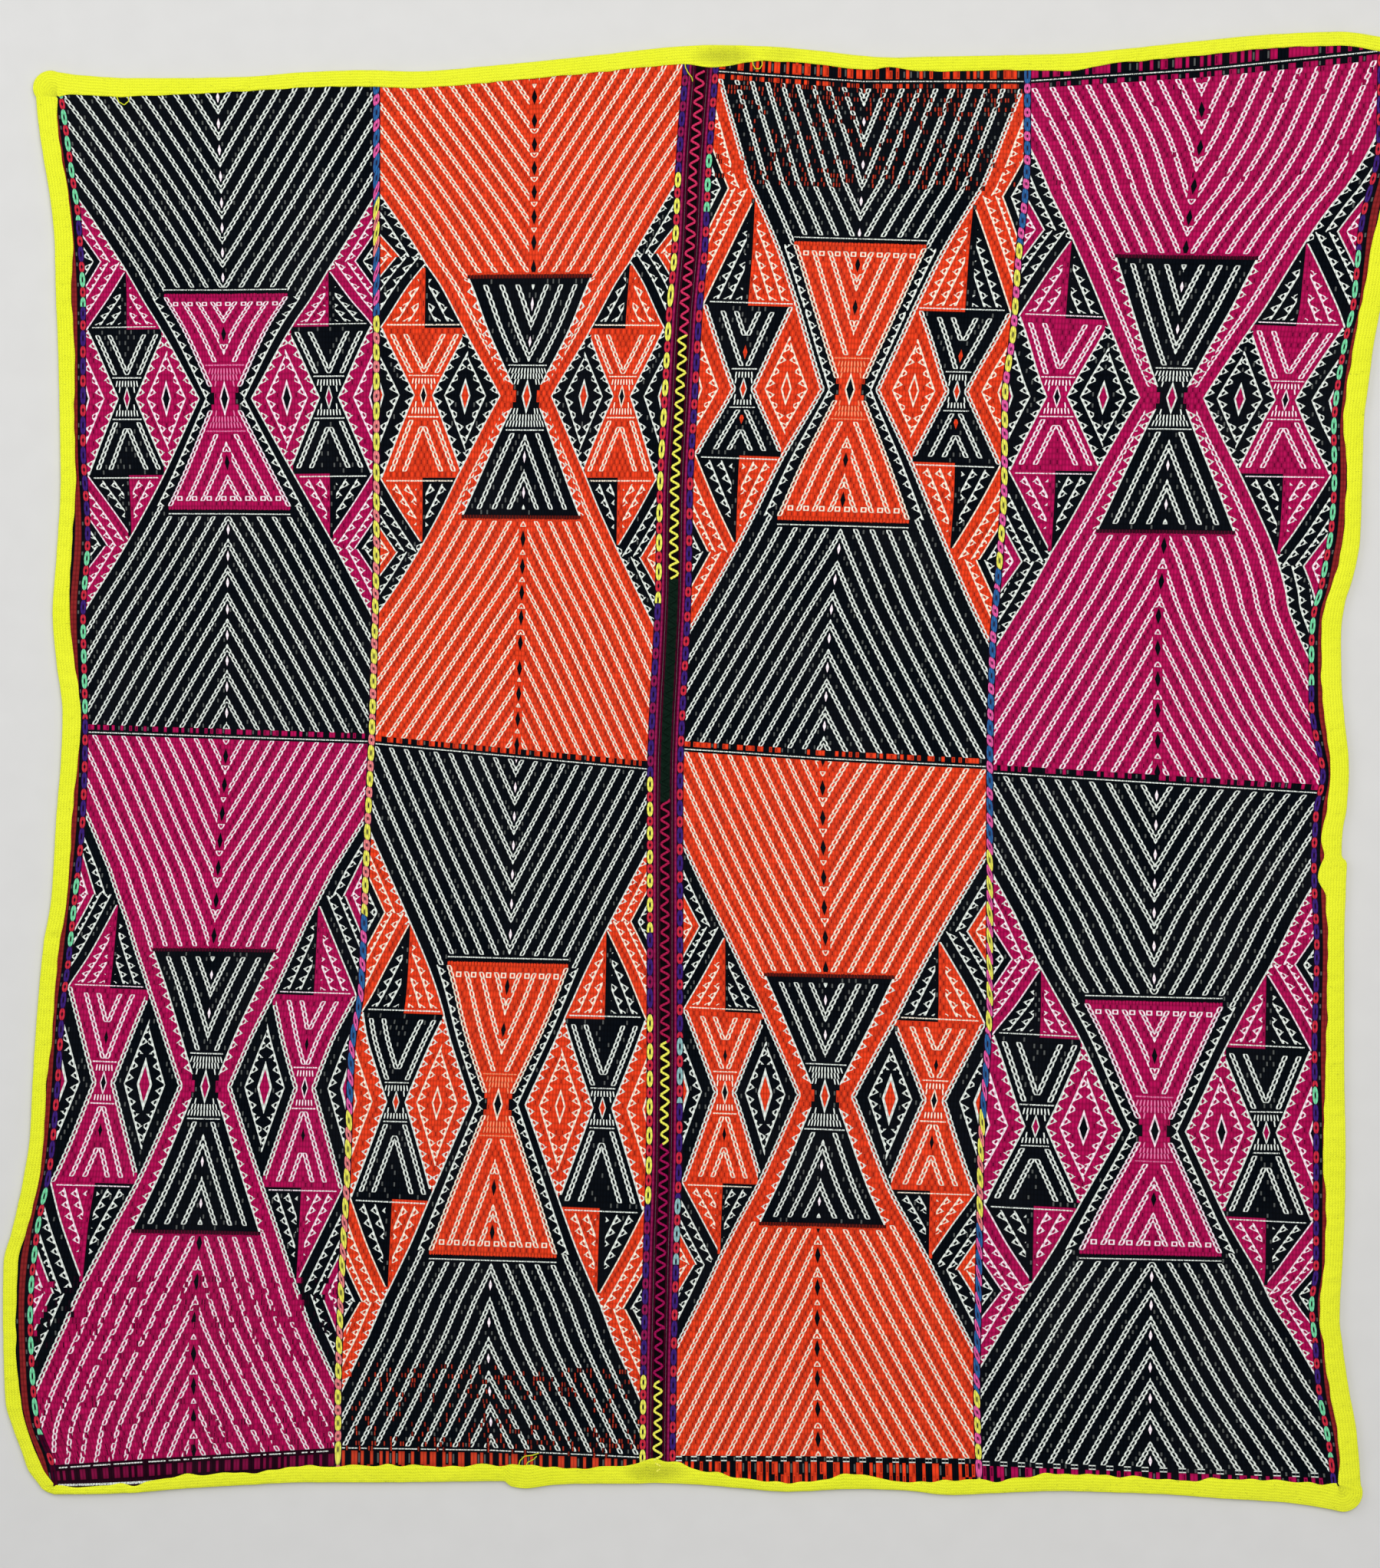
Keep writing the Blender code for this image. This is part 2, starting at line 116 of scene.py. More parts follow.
SEAM_LINE = (  # y, x
    (-560, -36.5), (-460, -35.5), (-370, -33.5), (-280, -31), (-200, -30.5),
    (-20, -30.5), (145, -24), (212, -23), (280, -19.5), (346, -16),
    (398, -11.5), (454, -9), (550, -2),
)
SWELLS = (  # x, y, reach in x, reach in y, height
    (-330, 405, 110, 75, 1.6), (-150, 290, 80, 100, 1.2),
    (-420, 120, 60, 120, 1.4), (-390, -330, 85, 110, 2),
    (-170, -440, 90, 60, 1.5), (140, 430, 90, 70, 1.8),
    (400, 330, 80, 110, 2), (230, 60, 120, 80, 1),
    (380, -250, 75, 130, 1.4), (160, -430, 100, 65, 1.6),
)

# Lines that the warp follows down the cloth, in plan pixels
LEFT_STRIPE = (  # y, x
    (80, 74), (144, 83), (230, 95), (287, 103), (402, 109), (574, 109), (700, 115), (801, 109),
    (944, 112), (1059, 109), (1174, 98), (1260, 89), (1307, 83), (1422, 75), (1520, 66),
    (1606, 49), (1709, 40), (1795, 43), (1853, 49), (1910, 69), (1960, 76),
)
FIRST_AXIS = (
    (80, 284), (155, 285), (287, 290), (520, 293), (660, 298), (772, 297), (921, 296), (1002, 294),
    (1099, 287), (1209, 280), (1416, 268), (1617, 261), (1749, 253), (1960, 253),
)
LEFT_DIVIDE = (
    (80, 491), (700, 491), (887, 487), (956, 485), (1088, 479), (1289, 471), (1365, 459),
    (1526, 453), (1681, 445), (1824, 441), (1960, 441),
)
SECOND_AXIS = (
    (80, 697), (166, 697), (344, 696), (517, 687), (631, 683), (703, 682), (824, 679), (944, 675),
    (1025, 672), (1117, 669), (1231, 665), (1439, 649), (1658, 640), (1767, 637), (1853, 640),
    (1960, 641),
)
THIRD_AXIS = (
    (60, 1126), (166, 1126), (287, 1121), (507, 1108), (602, 1102), (709, 1094), (801, 1083),
    (898, 1077), (1024, 1072), (1173, 1074), (1248, 1076), (1428, 1075), (1617, 1066),
    (1749, 1065), (1858, 1066), (1960, 1067),
)
RIGHT_DIVIDE = (
    (60, 1339), (201, 1339), (344, 1327), (430, 1321), (516, 1310), (631, 1309), (715, 1304),
    (858, 1293), (996, 1290), (1300, 1290), (1365, 1287), (1508, 1278), (1651, 1276),
    (1795, 1273), (1921, 1276), (1960, 1277),
)
FOURTH_AXIS = (
    (60, 1566), (167, 1566), (229, 1558), (275, 1551), (326, 1545), (519, 1527), (726, 1516),
    (829, 1509), (967, 1509), (1053, 1507), (1219, 1504), (1474, 1505), (1663, 1501),
    (1795, 1499), (1960, 1499),
)
RIGHT_STRIPE = (
    (60, 1799), (181, 1797), (217, 1793), (242, 1787), (270, 1779), (303, 1773), (334, 1770),
    (364, 1767), (401, 1763), (435, 1755), (478, 1747), (512, 1742), (561, 1738), (616, 1739),
    (690, 1735), (726, 1729), (769, 1721), (800, 1712), (843, 1709), (916, 1709), (966, 1716),
    (1010, 1724), (1058, 1715), (1131, 1712), (1235, 1716), (1373, 1713), (1491, 1715),
    (1652, 1715), (1700, 1709), (1752, 1714), (1806, 1718), (1877, 1731), (1960, 1741),
)

# One pattern column is COLUMN_CELLS wide and mirrored about its middle cell
COLUMN_CELLS = 95
AXIS_CELL = 47
PANEL_CELLS = 206
LINE_PITCH = 5      # cells from one chain line to the next
NECK_START = 3.0    # cells from the axis to the crossing band's inner side at the neck
WAIST_HALF = 3.0    # half the side waist's width at its neck
WAIST_WIDE = 13.5   # and at its base
WAIST_MIDDLE = 33.5  # cells from the axis to the side waist's middle
DIAMOND_MIDDLE = 20.0
DIAMOND_SIZE = 10.8
WEDGE_HALF = 20.0   # half the small wedge's wide edge
SPLIT_CELL = 34     # where the split wedge changes colour
TIP_CELL = 33.5     # where its tip is
TOOTH_REACH = 2.3   # how far from its line a line's teeth reach
TOOTHED_PITCH = 3.8  # cells from one toothed line to the next
CLEAR_OF_LINE = 1.3  # cells that other marks keep from a line between grounds
RING_INSIDE = 4.2   # cells from a diamond's side to the ring inside it
MOST_LINES = 18     # more chain lines than the widest wedge holds

# The rows where each level falls, and the level in plan pixels at the left side, axis and right
# side of the panel's two columns
LEFT_LEVELS = (  # row, first column, second column
    (2, (123, 123, 120), (115, 104, 92)),
    (41, (388, 388, 386), (365, 363, 362)),
    (48, (431, 428, 425), (428, 428, 429)),
    (60, (520, 520, 518), (515, 517, 517)),
    (73, (620, 619, 617), (623, 623, 623)),
    (79, (660, 660, 661), (670, 672, 673)),
    (124, (951, 957, 963), (966, 983, 999)),
    (165, (1240, 1240, 1244), (1255, 1260, 1264)),
    (173, (1286, 1293, 1299), (1319, 1325, 1330)),
    (189, (1409, 1416, 1419), (1435, 1439, 1446)),
    (206, (1540, 1545, 1549), (1560, 1569, 1577)),
    (214, (1600, 1603, 1608), (1626, 1632, 1638)),
    (254, (1917, 1905, 1894), (1890, 1893, 1902)),
)
RIGHT_LEVELS = (  # row, third column, fourth column
    (2, (91, 104, 104), (103, 88, 64)),
    (38, (316, 322, 328), (334, 338, 342)),
    (49, (397, 403, 409), (413, 421, 428)),
    (63, (507, 508, 512), (517, 519, 523)),
    (76, (592, 599, 606), (613, 616, 619)),
    (86, (670, 675, 681), (689, 691, 694)),
    (132, (973, 985, 996), (1004, 1017, 1030)),
    (174, (1270, 1274, 1279), (1305, 1310, 1315)),
    (181, (1316, 1325, 1335), (1349, 1360, 1370)),
    (195, (1422, 1428, 1437), (1466, 1474, 1477)),
    (210, (1540, 1547, 1554), (1568, 1580, 1591)),
    (217, (1590, 1594, 1600), (1626, 1631, 1636)),
    (260, (1904, 1905, 1908), (1910, 1918, 1926)),
)
LEFT_ROWS = 256
RIGHT_ROWS = 262

# How the crossing band's outer side runs out: rows from the neck and cells from the axis
BENDS = {  # column: upper and lower half of its upper block, then of its lower block
    "first": (
        ((0, 8.7), (12, 21.7), (24.6, 33.6), (37.7, 47.3), (70, 80)),
        ((0, 8.7), (12.9, 21.5), (26, 34.5), (39.8, 47.5), (70, 77)),
        ((0, 8.6), (16.2, 21.1), (29.4, 30), (39.6, 38.2), (49, 47.5), (70, 67)),
        ((0, 8.6), (16.3, 20.4), (32.5, 32.3), (41.8, 39.2), (51, 47.5), (80, 74)),
    ),
    "second": (
        ((0, 8.7), (12.1, 21.4), (21.6, 33.3), (35.2, 47.4), (70, 83)),
        ((0, 8.7), (12.6, 21.8), (24.7, 33.6), (31.2, 40.2), (38, 47.5), (70, 80)),
        ((0, 8.8), (16.7, 20.6), (31.9, 33.9), (47.5, 47.5), (70, 67)),
        ((0, 8.9), (17.4, 21.6), (34.4, 34.6), (41.7, 39.2), (53, 47.5), (80, 69)),
    ),
    "third": (
        ((0, 9.2), (14.6, 18.8), (25.6, 26.9), (38, 36.3), (48, 41.4), (57.5, 46.6), (70, 53)),
        ((0, 9.2), (12.8, 20.3), (29, 33.6), (39, 42.2), (45, 47.5), (80, 78)),
        ((0, 9.2), (14.3, 21.4), (29.1, 34), (38.8, 42.6), (44.4, 47.5), (70, 70)),
        ((0, 9.2), (14.9, 21.6), (28.7, 34.1), (35.7, 40), (43.8, 47.5), (80, 81)),
    ),
    "fourth": (
        ((0, 9.4), (14, 21.2), (28.3, 33.3), (37.4, 41.4), (47, 48), (70, 64)),
        ((0, 9.4), (12.9, 20.9), (27.3, 33.4), (35.4, 39.4), (45, 47.5), (80, 78)),
        ((0, 9.2), (13.4, 21), (28.6, 34.5), (37.2, 41.2), (44.4, 47.8), (70, 71)),
        ((0, 9.2), (15.4, 21.5), (29.3, 34.5), (35.6, 40.1), (44.5, 47.2), (80, 76)),
    ),
}

# Cells from the crossing band's outer side to the first chain, in the upper and the lower block
FIRST_CHAIN = {"first": (4.6, 0.9), "second": (4.6, 4.6), "third": (0.9, 0.9), "fourth": (4.6, 4.6)}

# The marks that a cell may hold
PLAIN, CHAIN, EDGE, TOOTHED, HOOK, TICK, EYE, WEFT, COMB, DASH, RIM, SPOT, BORDER = range(13)
MIRRORED = 2.0      # the turn of a mark that is drawn alike to both sides of its cell


def linear(red, green, blue):
    """A colour given in screen values, as the light that it reflects."""
    return tuple(
        value / 255.0 / 12.92 if value <= 10 else ((value / 255.0 + 0.055) / 1.055) ** 2.4
        for value in (red, green, blue)
    )


BLACK = linear(5, 9, 15)
MAGENTA = linear(166, 14, 76)
ORANGE = linear(222, 60, 28)
WHITE = linear(232, 238, 228)
CREAM = linear(250, 236, 214)
BLUSH = linear(250, 232, 238)
PALE_MAGENTA = linear(222, 120, 164)
PALE_ORANGE = linear(240, 146, 104)
TEAL = linear(142, 186, 186)
MAROON = linear(62, 0, 28)
DARK_MAROON = linear(30, 4, 18)
UMBER = linear(104, 20, 14)
EMBER = linear(190, 58, 34)
SEAM_DARK = linear(10, 4, 7)
SEAM_GREEN = linear(12, 30, 21)
BRICK = linear(126, 32, 33)
MINT = linear(118, 214, 160)
BLUE = linear(44, 98, 156)
PURPLE = linear(58, 32, 112)
RED = linear(198, 42, 60)
PINK = linear(230, 92, 160)
SALMON = linear(238, 132, 132)
YELLOW = linear(238, 234, 92)
ROSE = linear(140, 24, 76)
WINE = linear(112, 12, 54)
DARK_GROUND = linear(34, 12, 34)

INK_ON = {BLACK: WHITE, MAGENTA: BLUSH, ORANGE: CREAM}
SCHEMES = {  # column: field and accent of its upper block, then of its lower block
    "first": ((BLACK, MAGENTA), (MAGENTA, BLACK)),
    "second": ((ORANGE, BLACK), (BLACK, ORANGE)),
    "third": ((BLACK, ORANGE), (ORANGE, BLACK)),
    "fourth": ((MAGENTA, BLACK), (BLACK, MAGENTA)),
}


def steepness(rows, column):
    """Slope at each row of a table, flat at each high and low point, so a curve never overshoots."""
    rises = [(b[column] - a[column]) / (b[0] - a[0]) for a, b in zip(rows, rows[1:])]
    slopes = [rises[0]]
    for before, after in zip(rises, rises[1:]):
        same_way = before * after > 0.0
        slopes.append(2.0 * before * after / (before + after) if same_way else 0.0)
    slopes.append(rises[-1])
    return slopes


def curve(rows, column):
    """A function that runs smoothly through one column of a table, for a number or an array."""
    slopes = np.array(steepness(rows, column))
    places = np.array([row[0] for row in rows], dtype=float)
    values = np.array([row[column] for row in rows], dtype=float)

    def value(at):
        at = np.clip(np.asarray(at, dtype=float), places[0], places[-1])
        i = np.clip(np.searchsorted(places, at, side="left") - 1, 0, len(places) - 2)
        span = places[i + 1] - places[i]
        t = (at - places[i]) / span
        ease = t * t * (3.0 - 2.0 * t)
        leave = t * (1.0 - t) ** 2 * span * slopes[i]
        arrive = t * t * (t - 1.0) * span * slopes[i + 1]
        return values[i] + (values[i + 1] - values[i]) * ease + leave + arrive

    return value


bottom_outer = curve(BOTTOM_EDGE, 1)
bottom_width = curve(BOTTOM_EDGE, 2)
right_outer = curve(RIGHT_EDGE, 1)
right_width = curve(RIGHT_EDGE, 2)
top_outer = curve(TOP_EDGE, 1)
top_width = curve(TOP_EDGE, 2)
left_outer = curve(LEFT_EDGE, 1)
left_width = curve(LEFT_EDGE, 2)
seam_line = curve(SEAM_LINE, 1)

MIDDLE = (
    (min(row[1] for row in LEFT_EDGE) + max(row[1] for row in RIGHT_EDGE)) / 2.0,
    (min(row[1] for row in BOTTOM_EDGE) + max(row[1] for row in TOP_EDGE)) / 2.0,
)


def across_from_plan(pixels):
    """Millimetres to the right of the plan's middle."""
    return (np.asarray(pixels, dtype=float) - PLAN_MIDDLE[0]) * PLAN_SCALE


def up_from_plan(pixels):
    """Millimetres up from the plan's middle."""
    return (PLAN_MIDDLE[1] - np.asarray(pixels, dtype=float)) * PLAN_SCALE


def plan_line(rows):
    """A warp line of the plan as a function from y to x, both in millimetres."""
    turned = sorted((float(up_from_plan(y)), float(across_from_plan(x))) for y, x in rows)
    return curve(turned, 1)


def corners():
    """Each corner's name, inner point, first angle, and the tape's reach at its start and end."""
    (bottom_left, bottom_right), (top_left, top_right) = (
        (rows[0], rows[-1]) for rows in (BOTTOM_EDGE, TOP_EDGE)
    )
    (right_low, right_high), (left_low, left_high) = (
        (rows[0], rows[-1]) for rows in (RIGHT_EDGE, LEFT_EDGE)
    )
    return (
        ("bottom_left", bottom_left[0], left_low[0], 180.0, left_low[2], bottom_left[2]),
        ("bottom_right", bottom_right[0], right_low[0], 270.0, bottom_right[2], right_low[2]),
        ("top_right", top_right[0], right_high[0], 0.0, right_high[2], top_right[2]),
        ("top_left", top_left[0], left_high[0], 90.0, top_left[2], left_high[2]),
    )


def corner_reach(corner, share):
    """The tape's reach from a corner's inner point, from share 0 at its start to 1 at its end."""
    name, _, _, _, first, last = corner
    diagonal = CORNER_REACH[name]
    at_first = first * (1.0 - share) * (1.0 - 2.0 * share)
    at_diagonal = diagonal * 4.0 * share * (1.0 - share)
    at_last = last * share * (2.0 * share - 1.0)
    return at_first + at_diagonal + at_last


def held_in_corners(x, y):
    """Draws points of the cloth back inside the tape's fold where a corner is rounded."""
    for corner in corners():
        _, corner_x, corner_y, start, _, _ = corner
        away = np.hypot(x - corner_x, y - corner_y)
        turn = (np.degrees(np.arctan2(y - corner_y, x - corner_x)) - start) % 360.0
        furthest = corner_reach(corner, np.clip(turn / 90.0, 0.0, 1.0)) - TUCK
        out = (turn <= 90.0) & (away > furthest)
        scale = np.where(out, furthest / np.maximum(away, 0.001), 1.0)
        x = np.where(out, corner_x + (x - corner_x) * scale, x)
        y = np.where(out, corner_y + (y - corner_y) * scale, y)
    return x, y


def swell(x, y):
    """Height of the low swells."""
    height = np.zeros_like(x)
    for at_x, at_y, reach_x, reach_y, rise in SWELLS:
        away = np.minimum(np.hypot((x - at_x) / reach_x, (y - at_y) / reach_y), 1.0)
        height += rise * np.cos(away * math.pi / 2.0) ** 2
    return height


def beside_tape(x, y):
    """How far points are inside the tape's inner side, in millimetres, and less than 0 under it."""
    gaps = (
        y - bottom_outer(x) - bottom_width(x),
        top_outer(x) - top_width(x) - y,
        x - left_outer(y) - left_width(y),
        right_outer(y) - right_width(y) - x,
    )
    return np.minimum.reduce(gaps)


def edge_lift(x, y):
    """How far the cloth is lifted onto the tape's lower leg near its bound edges."""
    share = np.clip(
        (beside_tape(x, y) - CLEAR_OF_TAPE) / (DOWN_ON_SURFACE - CLEAR_OF_TAPE), 0.0, 1.0
    )
    return LIFT * (1.0 - share)


class Chart:
    """The cells of one panel: ground colours and marks, row 0 at the top."""

    def __init__(self, rows, seed):
        self.size = (rows, PANEL_CELLS)
        self.ground = np.zeros((*self.size, 3))
        self.other = np.zeros((*self.size, 3))
        self.ink = np.zeros((*self.size, 3))
        self.mark = np.zeros((*self.size, 3))
        self.lie = np.zeros((*self.size, 3))
        self.chance = np.random.default_rng(seed)

    def part(self, top, bottom, left, right):
        """Views of the cells between some rows and columns."""
        window = (slice(top, bottom), slice(left, right))
        return {
            "ground": self.ground[window], "other": self.other[window], "ink": self.ink[window],
            "mark": self.mark[window], "lie": self.lie[window],
        }


class Half:
    """One half of a block, laid out from its neck row towards the block's end.

    a is a cell's distance from the axis and r its distance from the neck, both in cells. A line is
    given by the a it passes at each row's middle and by its slope in cells a row.
    """

    def __init__(self, chart, left, neck, first, last):
        self.part = chart.part(first, last, left, left + COLUMN_CELLS)
        self.down = 1 if first >= neck else -1
        rows = np.arange(first, last)
        step = rows - neck if self.down > 0 else neck - 1 - rows
        across = np.arange(COLUMN_CELLS) - AXIS_CELL
        self.r, self.signed = np.meshgrid(step, across, indexing="ij")
        self.a = np.abs(self.signed)
        self.side = np.where(self.signed < 0, -1, 1)
        self.pair = np.where(self.r % 2 == 0, -0.5, 0.5) * self.down

    def put(self, where, kind, along=0.0, up=0.0, way=0.0, turn=1.0, **colours):
        """Puts one kind of mark in some cells, with its place beside its line or point."""
        part = self.part
        part["mark"][..., 0][where] = kind
        for layer, index, value in (
            ("mark", 1, along), ("mark", 2, up), ("lie", 0, way), ("lie", 1, turn),
        ):
            part[layer][..., index][where] = np.broadcast_to(value, where.shape)[where]
        for name, colour in colours.items():
            part[name][where] = np.broadcast_to(colour, (*where.shape, 3))[where]

    def fill(self, where, ground):
        """Gives some cells a plain ground and the ink that suits it."""
        other = WHITE if ground == BLACK else BLACK
        self.put(where, PLAIN, ground=ground, other=other, ink=INK_ON[ground])

    def line(self, where, kind, at, slope=1.0, teeth=1.0, **colours):
        """Lays a line of marks through the cells that it passes."""
        beside = self.a - at
        behind, reach = (0.9, TOOTH_REACH) if kind == TOOTHED else (1.5, 1.5)
        near = where & (beside * teeth < reach) & (beside * teeth > -behind)
        turn = self.side * teeth if kind == TOOTHED else np.where(self.a == 0, MIRRORED, 1.0)
        self.put(
            near, kind, along=self.side * beside, up=self.pair,
            way=self.side * self.down * slope, turn=turn, **colours,
        )

    def edge(self, where, at, inside, outside, slope=1.0, kind=EDGE, teeth=1.0, ink=WHITE):
        """A line along which one ground meets another. A rim's teeth point outwards or inwards."""
        beside = self.a - at
        behind, reach = {EDGE: (1.2, 1.2), RIM: (1.0, TOOTH_REACH), BORDER: (1.6, 1.6)}[kind]
        near = where & (beside * teeth > -behind) & (beside * teeth < reach)
        inside = np.broadcast_to(inside, (*self.a.shape, 3))
        outside = np.broadcast_to(outside, (*self.a.shape, 3))
        shown = (np.clip(beside, -1.0, 1.0) == beside)[..., None]
        own = np.where((beside > 0)[..., None], outside, inside)
        to_right = (self.side > 0)[..., None]
        self.put(
            near, kind, along=self.side * beside, up=self.pair,
            way=self.side * self.down * slope, turn=self.side * teeth,
            ground=np.where(shown, np.where(to_right, inside, outside), own),
            other=np.where(shown, np.where(to_right, outside, inside), own), ink=ink,
        )

    def eye(self, where, middle_a, middle_r, size, ring, **colours):
        """A small diamond, with or without a ring of the ink."""
        share = size * (1.05 if ring else 0.72)
        near = where & (np.abs(self.a - middle_a) <= share / 0.75 + 0.4)
        near &= np.abs(self.r - middle_r) <= share / 0.42 + 0.4
        self.put(
            near, EYE, along=(self.a - middle_a) * self.side, up=(self.r - middle_r) * self.down,
            way=size, turn=1.0 if ring else 0.0, **colours,
        )


def weave_half(half, base, wedge_end, bend, first_chain, field, accent):
    """Weaves one half of a block in its field and accent colours."""
    a, r = half.a, half.r
    middle_r = r + 0.5
    places = [row for row, _ in bend]
    cells = [cell for _, cell in bend]
    outer = np.interp(middle_r, places, cells)
    outer_slope = np.interp(middle_r + 0.5, places, cells) - np.interp(middle_r - 0.5, places, cells)
    inner_slope = (WEDGE_HALF - NECK_START) / wedge_end
    inner = NECK_START + middle_r * inner_slope
    field_ink, accent_ink = INK_ON[field], INK_ON[accent]

    # Grounds
    in_wedge = (r < wedge_end) & (a < inner)
    in_field = (a < outer) & ~in_wedge
    at_side = a >= outer
    inside_waist = at_side & (r < base)
    side_slope = (WAIST_WIDE - WAIST_HALF) / base
    waist_reach = WAIST_HALF + middle_r * side_slope
    from_waist = np.abs(a - WAIST_MIDDLE)
    waist = inside_waist & (from_waist < waist_reach)
    tip_r = float(np.interp(TIP_CELL, cells, places))
    slant_slope = (AXIS_CELL + 0.5 - TIP_CELL) / (tip_r - base)
    rise = middle_r - base
    slant = AXIS_CELL + 0.5 - rise * slant_slope
    beyond_base = at_side & (r >= base)
    in_split = beyond_base & (a < slant)
    outer_half = in_split & (a >= SPLIT_CELL)
    notch_r = tip_r + 1.6
    from_notch = AXIS_CELL + 1 - a + np.abs(middle_r - notch_r) * slant_slope
    notch = beyond_base & ~in_split & (from_notch < 6)
    half.fill(in_field, field)
    half.fill(in_wedge, accent)
    half.fill(at_side, accent)
    for where in (waist, outer_half, notch):
        half.fill(where, field)

    # Chain lines of the big wedge, with eyes where they meet
    beyond = r >= wedge_end
    big_eye = (0.6, BLUSH) if field == BLACK else (0.95, BLACK)
    at_border = first_chain < 2.0
    for n in range(MOST_LINES):
        away = first_chain + LINE_PITCH * n
        through_band = n == 0 and field != BLACK and not at_border
        lines = in_field & (r >= 2) if through_band else in_field & beyond
        if n > 0 or not at_border:
            half.line(lines, CHAIN, outer - away, outer_slope)
    for n in range(MOST_LINES):
        between = np.interp(first_chain + 2.5 + LINE_PITCH * n, cells, places)
        if between > wedge_end:
            half.eye(in_field & beyond, 0.0, between - 0.5, big_eye[0], False, other=big_eye[1])

    # Small wedge: chains, eyes between them, a comb at the neck, hooks along its wide edge
    small_eye = (0.55, BLUSH) if accent == BLACK else (0.85, BLACK)
    first_inside = 4.2 if accent == BLACK else LINE_PITCH + 0.2
    for n in range(4):
        at = inner - first_inside - LINE_PITCH * n
        half.line(in_wedge & (r > 5) & (r < wedge_end - 1), CHAIN, at, inner_slope)
        between = (first_inside + 2.5 + LINE_PITCH * (n - 1) - NECK_START) / inner_slope
        if 7 < between < wedge_end - 3:
            half.eye(in_wedge, 0.0, between - 0.5, small_eye[0], False, other=small_eye[1])
        hook_at = WEDGE_HALF - 3.5 - LINE_PITCH * n
        if accent != BLACK:
            hook = in_wedge & (r == wedge_end - 2) & (np.abs(a - hook_at) < 0.6)
            half.put(hook, HOOK, along=half.side * (a - hook_at))
    comb = in_wedge & (r >= 2) & (r <= 4)
    comb_ink = {BLACK: accent_ink, MAGENTA: PALE_MAGENTA, ORANGE: PALE_ORANGE}[accent]
    half.put(comb, COMB, along=half.signed * -0.12, ink=comb_ink)
    half.put(in_wedge & (r == 5), WEFT, ink=comb_ink)
    half.eye((a <= 2) & (r <= 2), 0.0, -0.5, 1.2, True, ground=accent, other=field, ink=accent_ink)
    fringe = in_field & (r == wedge_end) & (a <= WEDGE_HALF)
    half.put(fringe, TICK, turn=float(half.down), ground=field, ink=accent)
    if field == BLACK:
        half.put(in_field & (r == wedge_end + 1) & (a <= WEDGE_HALF), WEFT, ink=field_ink)

    # The crossing band's sides, and the toothed line that runs between them through the neck
    band = (r < wedge_end) & (a > inner + 0.9) & in_field
    if field == BLACK:
        middle_slope = (inner_slope + outer_slope) / 2.0
        half.line(band, TOOTHED, (inner + outer) / 2.0 + 0.4, middle_slope, -1.0, ink=field_ink)
    wedge_kind = RIM if accent == BLACK else BORDER
    half.edge((r < wedge_end) & (r > 1), inner, accent, field, inner_slope, wedge_kind, ink=accent_ink)
    outside = np.where((waist | outer_half | notch)[..., None], field, accent)
    outer_kind, outer_at = (BORDER, outer - 0.5) if at_border else (EDGE, outer)
    half.edge(a <= AXIS_CELL, outer_at, field, outside, outer_slope, outer_kind)
    fringed = at_side & ~in_split & ~waist & (a <= AXIS_CELL)
    if not at_border:
        half.edge(fringed, outer, field, accent, outer_slope, RIM)

    # Side waist: chains along its sides and inside them, a comb and an eye at its neck, and hooks
    sideways = np.where(a < WAIST_MIDDLE, -1.0, 1.0)
    clear = inside_waist & (a > outer + CLEAR_OF_LINE)
    waist_inside = LINE_PITCH if at_border else 2.4
    for n in range(2):
        reach = waist_reach - waist_inside - (LINE_PITCH - 0.8) * n
        chains = waist & clear & (r >= 4) & (r < base - 1) & (reach > 0.3)
        half.line(chains, CHAIN, WAIST_MIDDLE + sideways * reach, sideways * side_slope)
    neck = waist & clear
    half.put(neck & (r <= 2), COMB, along=half.side * (a - WAIST_MIDDLE) * -0.1, ink=field_ink)
    half.put(neck & (r == 3), WEFT, ink=field_ink)
    half.eye(
        neck & (from_waist <= 1.5) & (r <= 1), WAIST_MIDDLE, -0.5, 0.85, True,
        ground=field, other=accent, ink=field_ink,
    )
    waist_apex = (waist_inside - WAIST_HALF + LINE_PITCH - 0.8) / side_slope
    waist_eye = neck & (from_waist <= 1.5) & (r > 4)
    half.eye(waist_eye, WAIST_MIDDLE, waist_apex - 2.5, 0.7, False, other=accent)
    for way in (-1.0, 1.0):
        at = WAIST_MIDDLE + way * waist_reach
        this_side = clear & (sideways == way) & (a <= AXIS_CELL)
        inside, outside = (field, accent) if way > 0 else (accent, field)
        waist_kind = BORDER if at_border else RIM
        half.edge(this_side, at, inside, outside, way * side_slope, waist_kind, way)

    # Diamonds beside the waist, ring inside ring, and half diamonds at the column's edge
    heart_ground = {BLACK: field, MAGENTA: BLACK, ORANGE: ORANGE}[accent]
    for centre in (DIAMOND_MIDDLE, AXIS_CELL + 1.0):
        way = np.where(a < centre, -1.0, 1.0)
        open_cells = clear & (from_waist > waist_reach + (1.2 if at_border else 2.4))
        open_cells &= (a < WAIST_MIDDLE) if centre == DIAMOND_MIDDLE else (a > WAIST_MIDDLE)
        slope = DIAMOND_SIZE / base
        reach = DIAMOND_SIZE - RING_INSIDE - middle_r * slope
        ring = open_cells & (reach > -0.5)
        half.line(ring, TOOTHED, centre + way * reach, -way * slope, -way, ink=accent_ink)
        half.eye(
            open_cells & (r <= 4), centre, -0.5, 1.8 if at_border and accent == BLACK else 1.25,
            True, ground=accent, other=heart_ground, ink=accent_ink,
        )

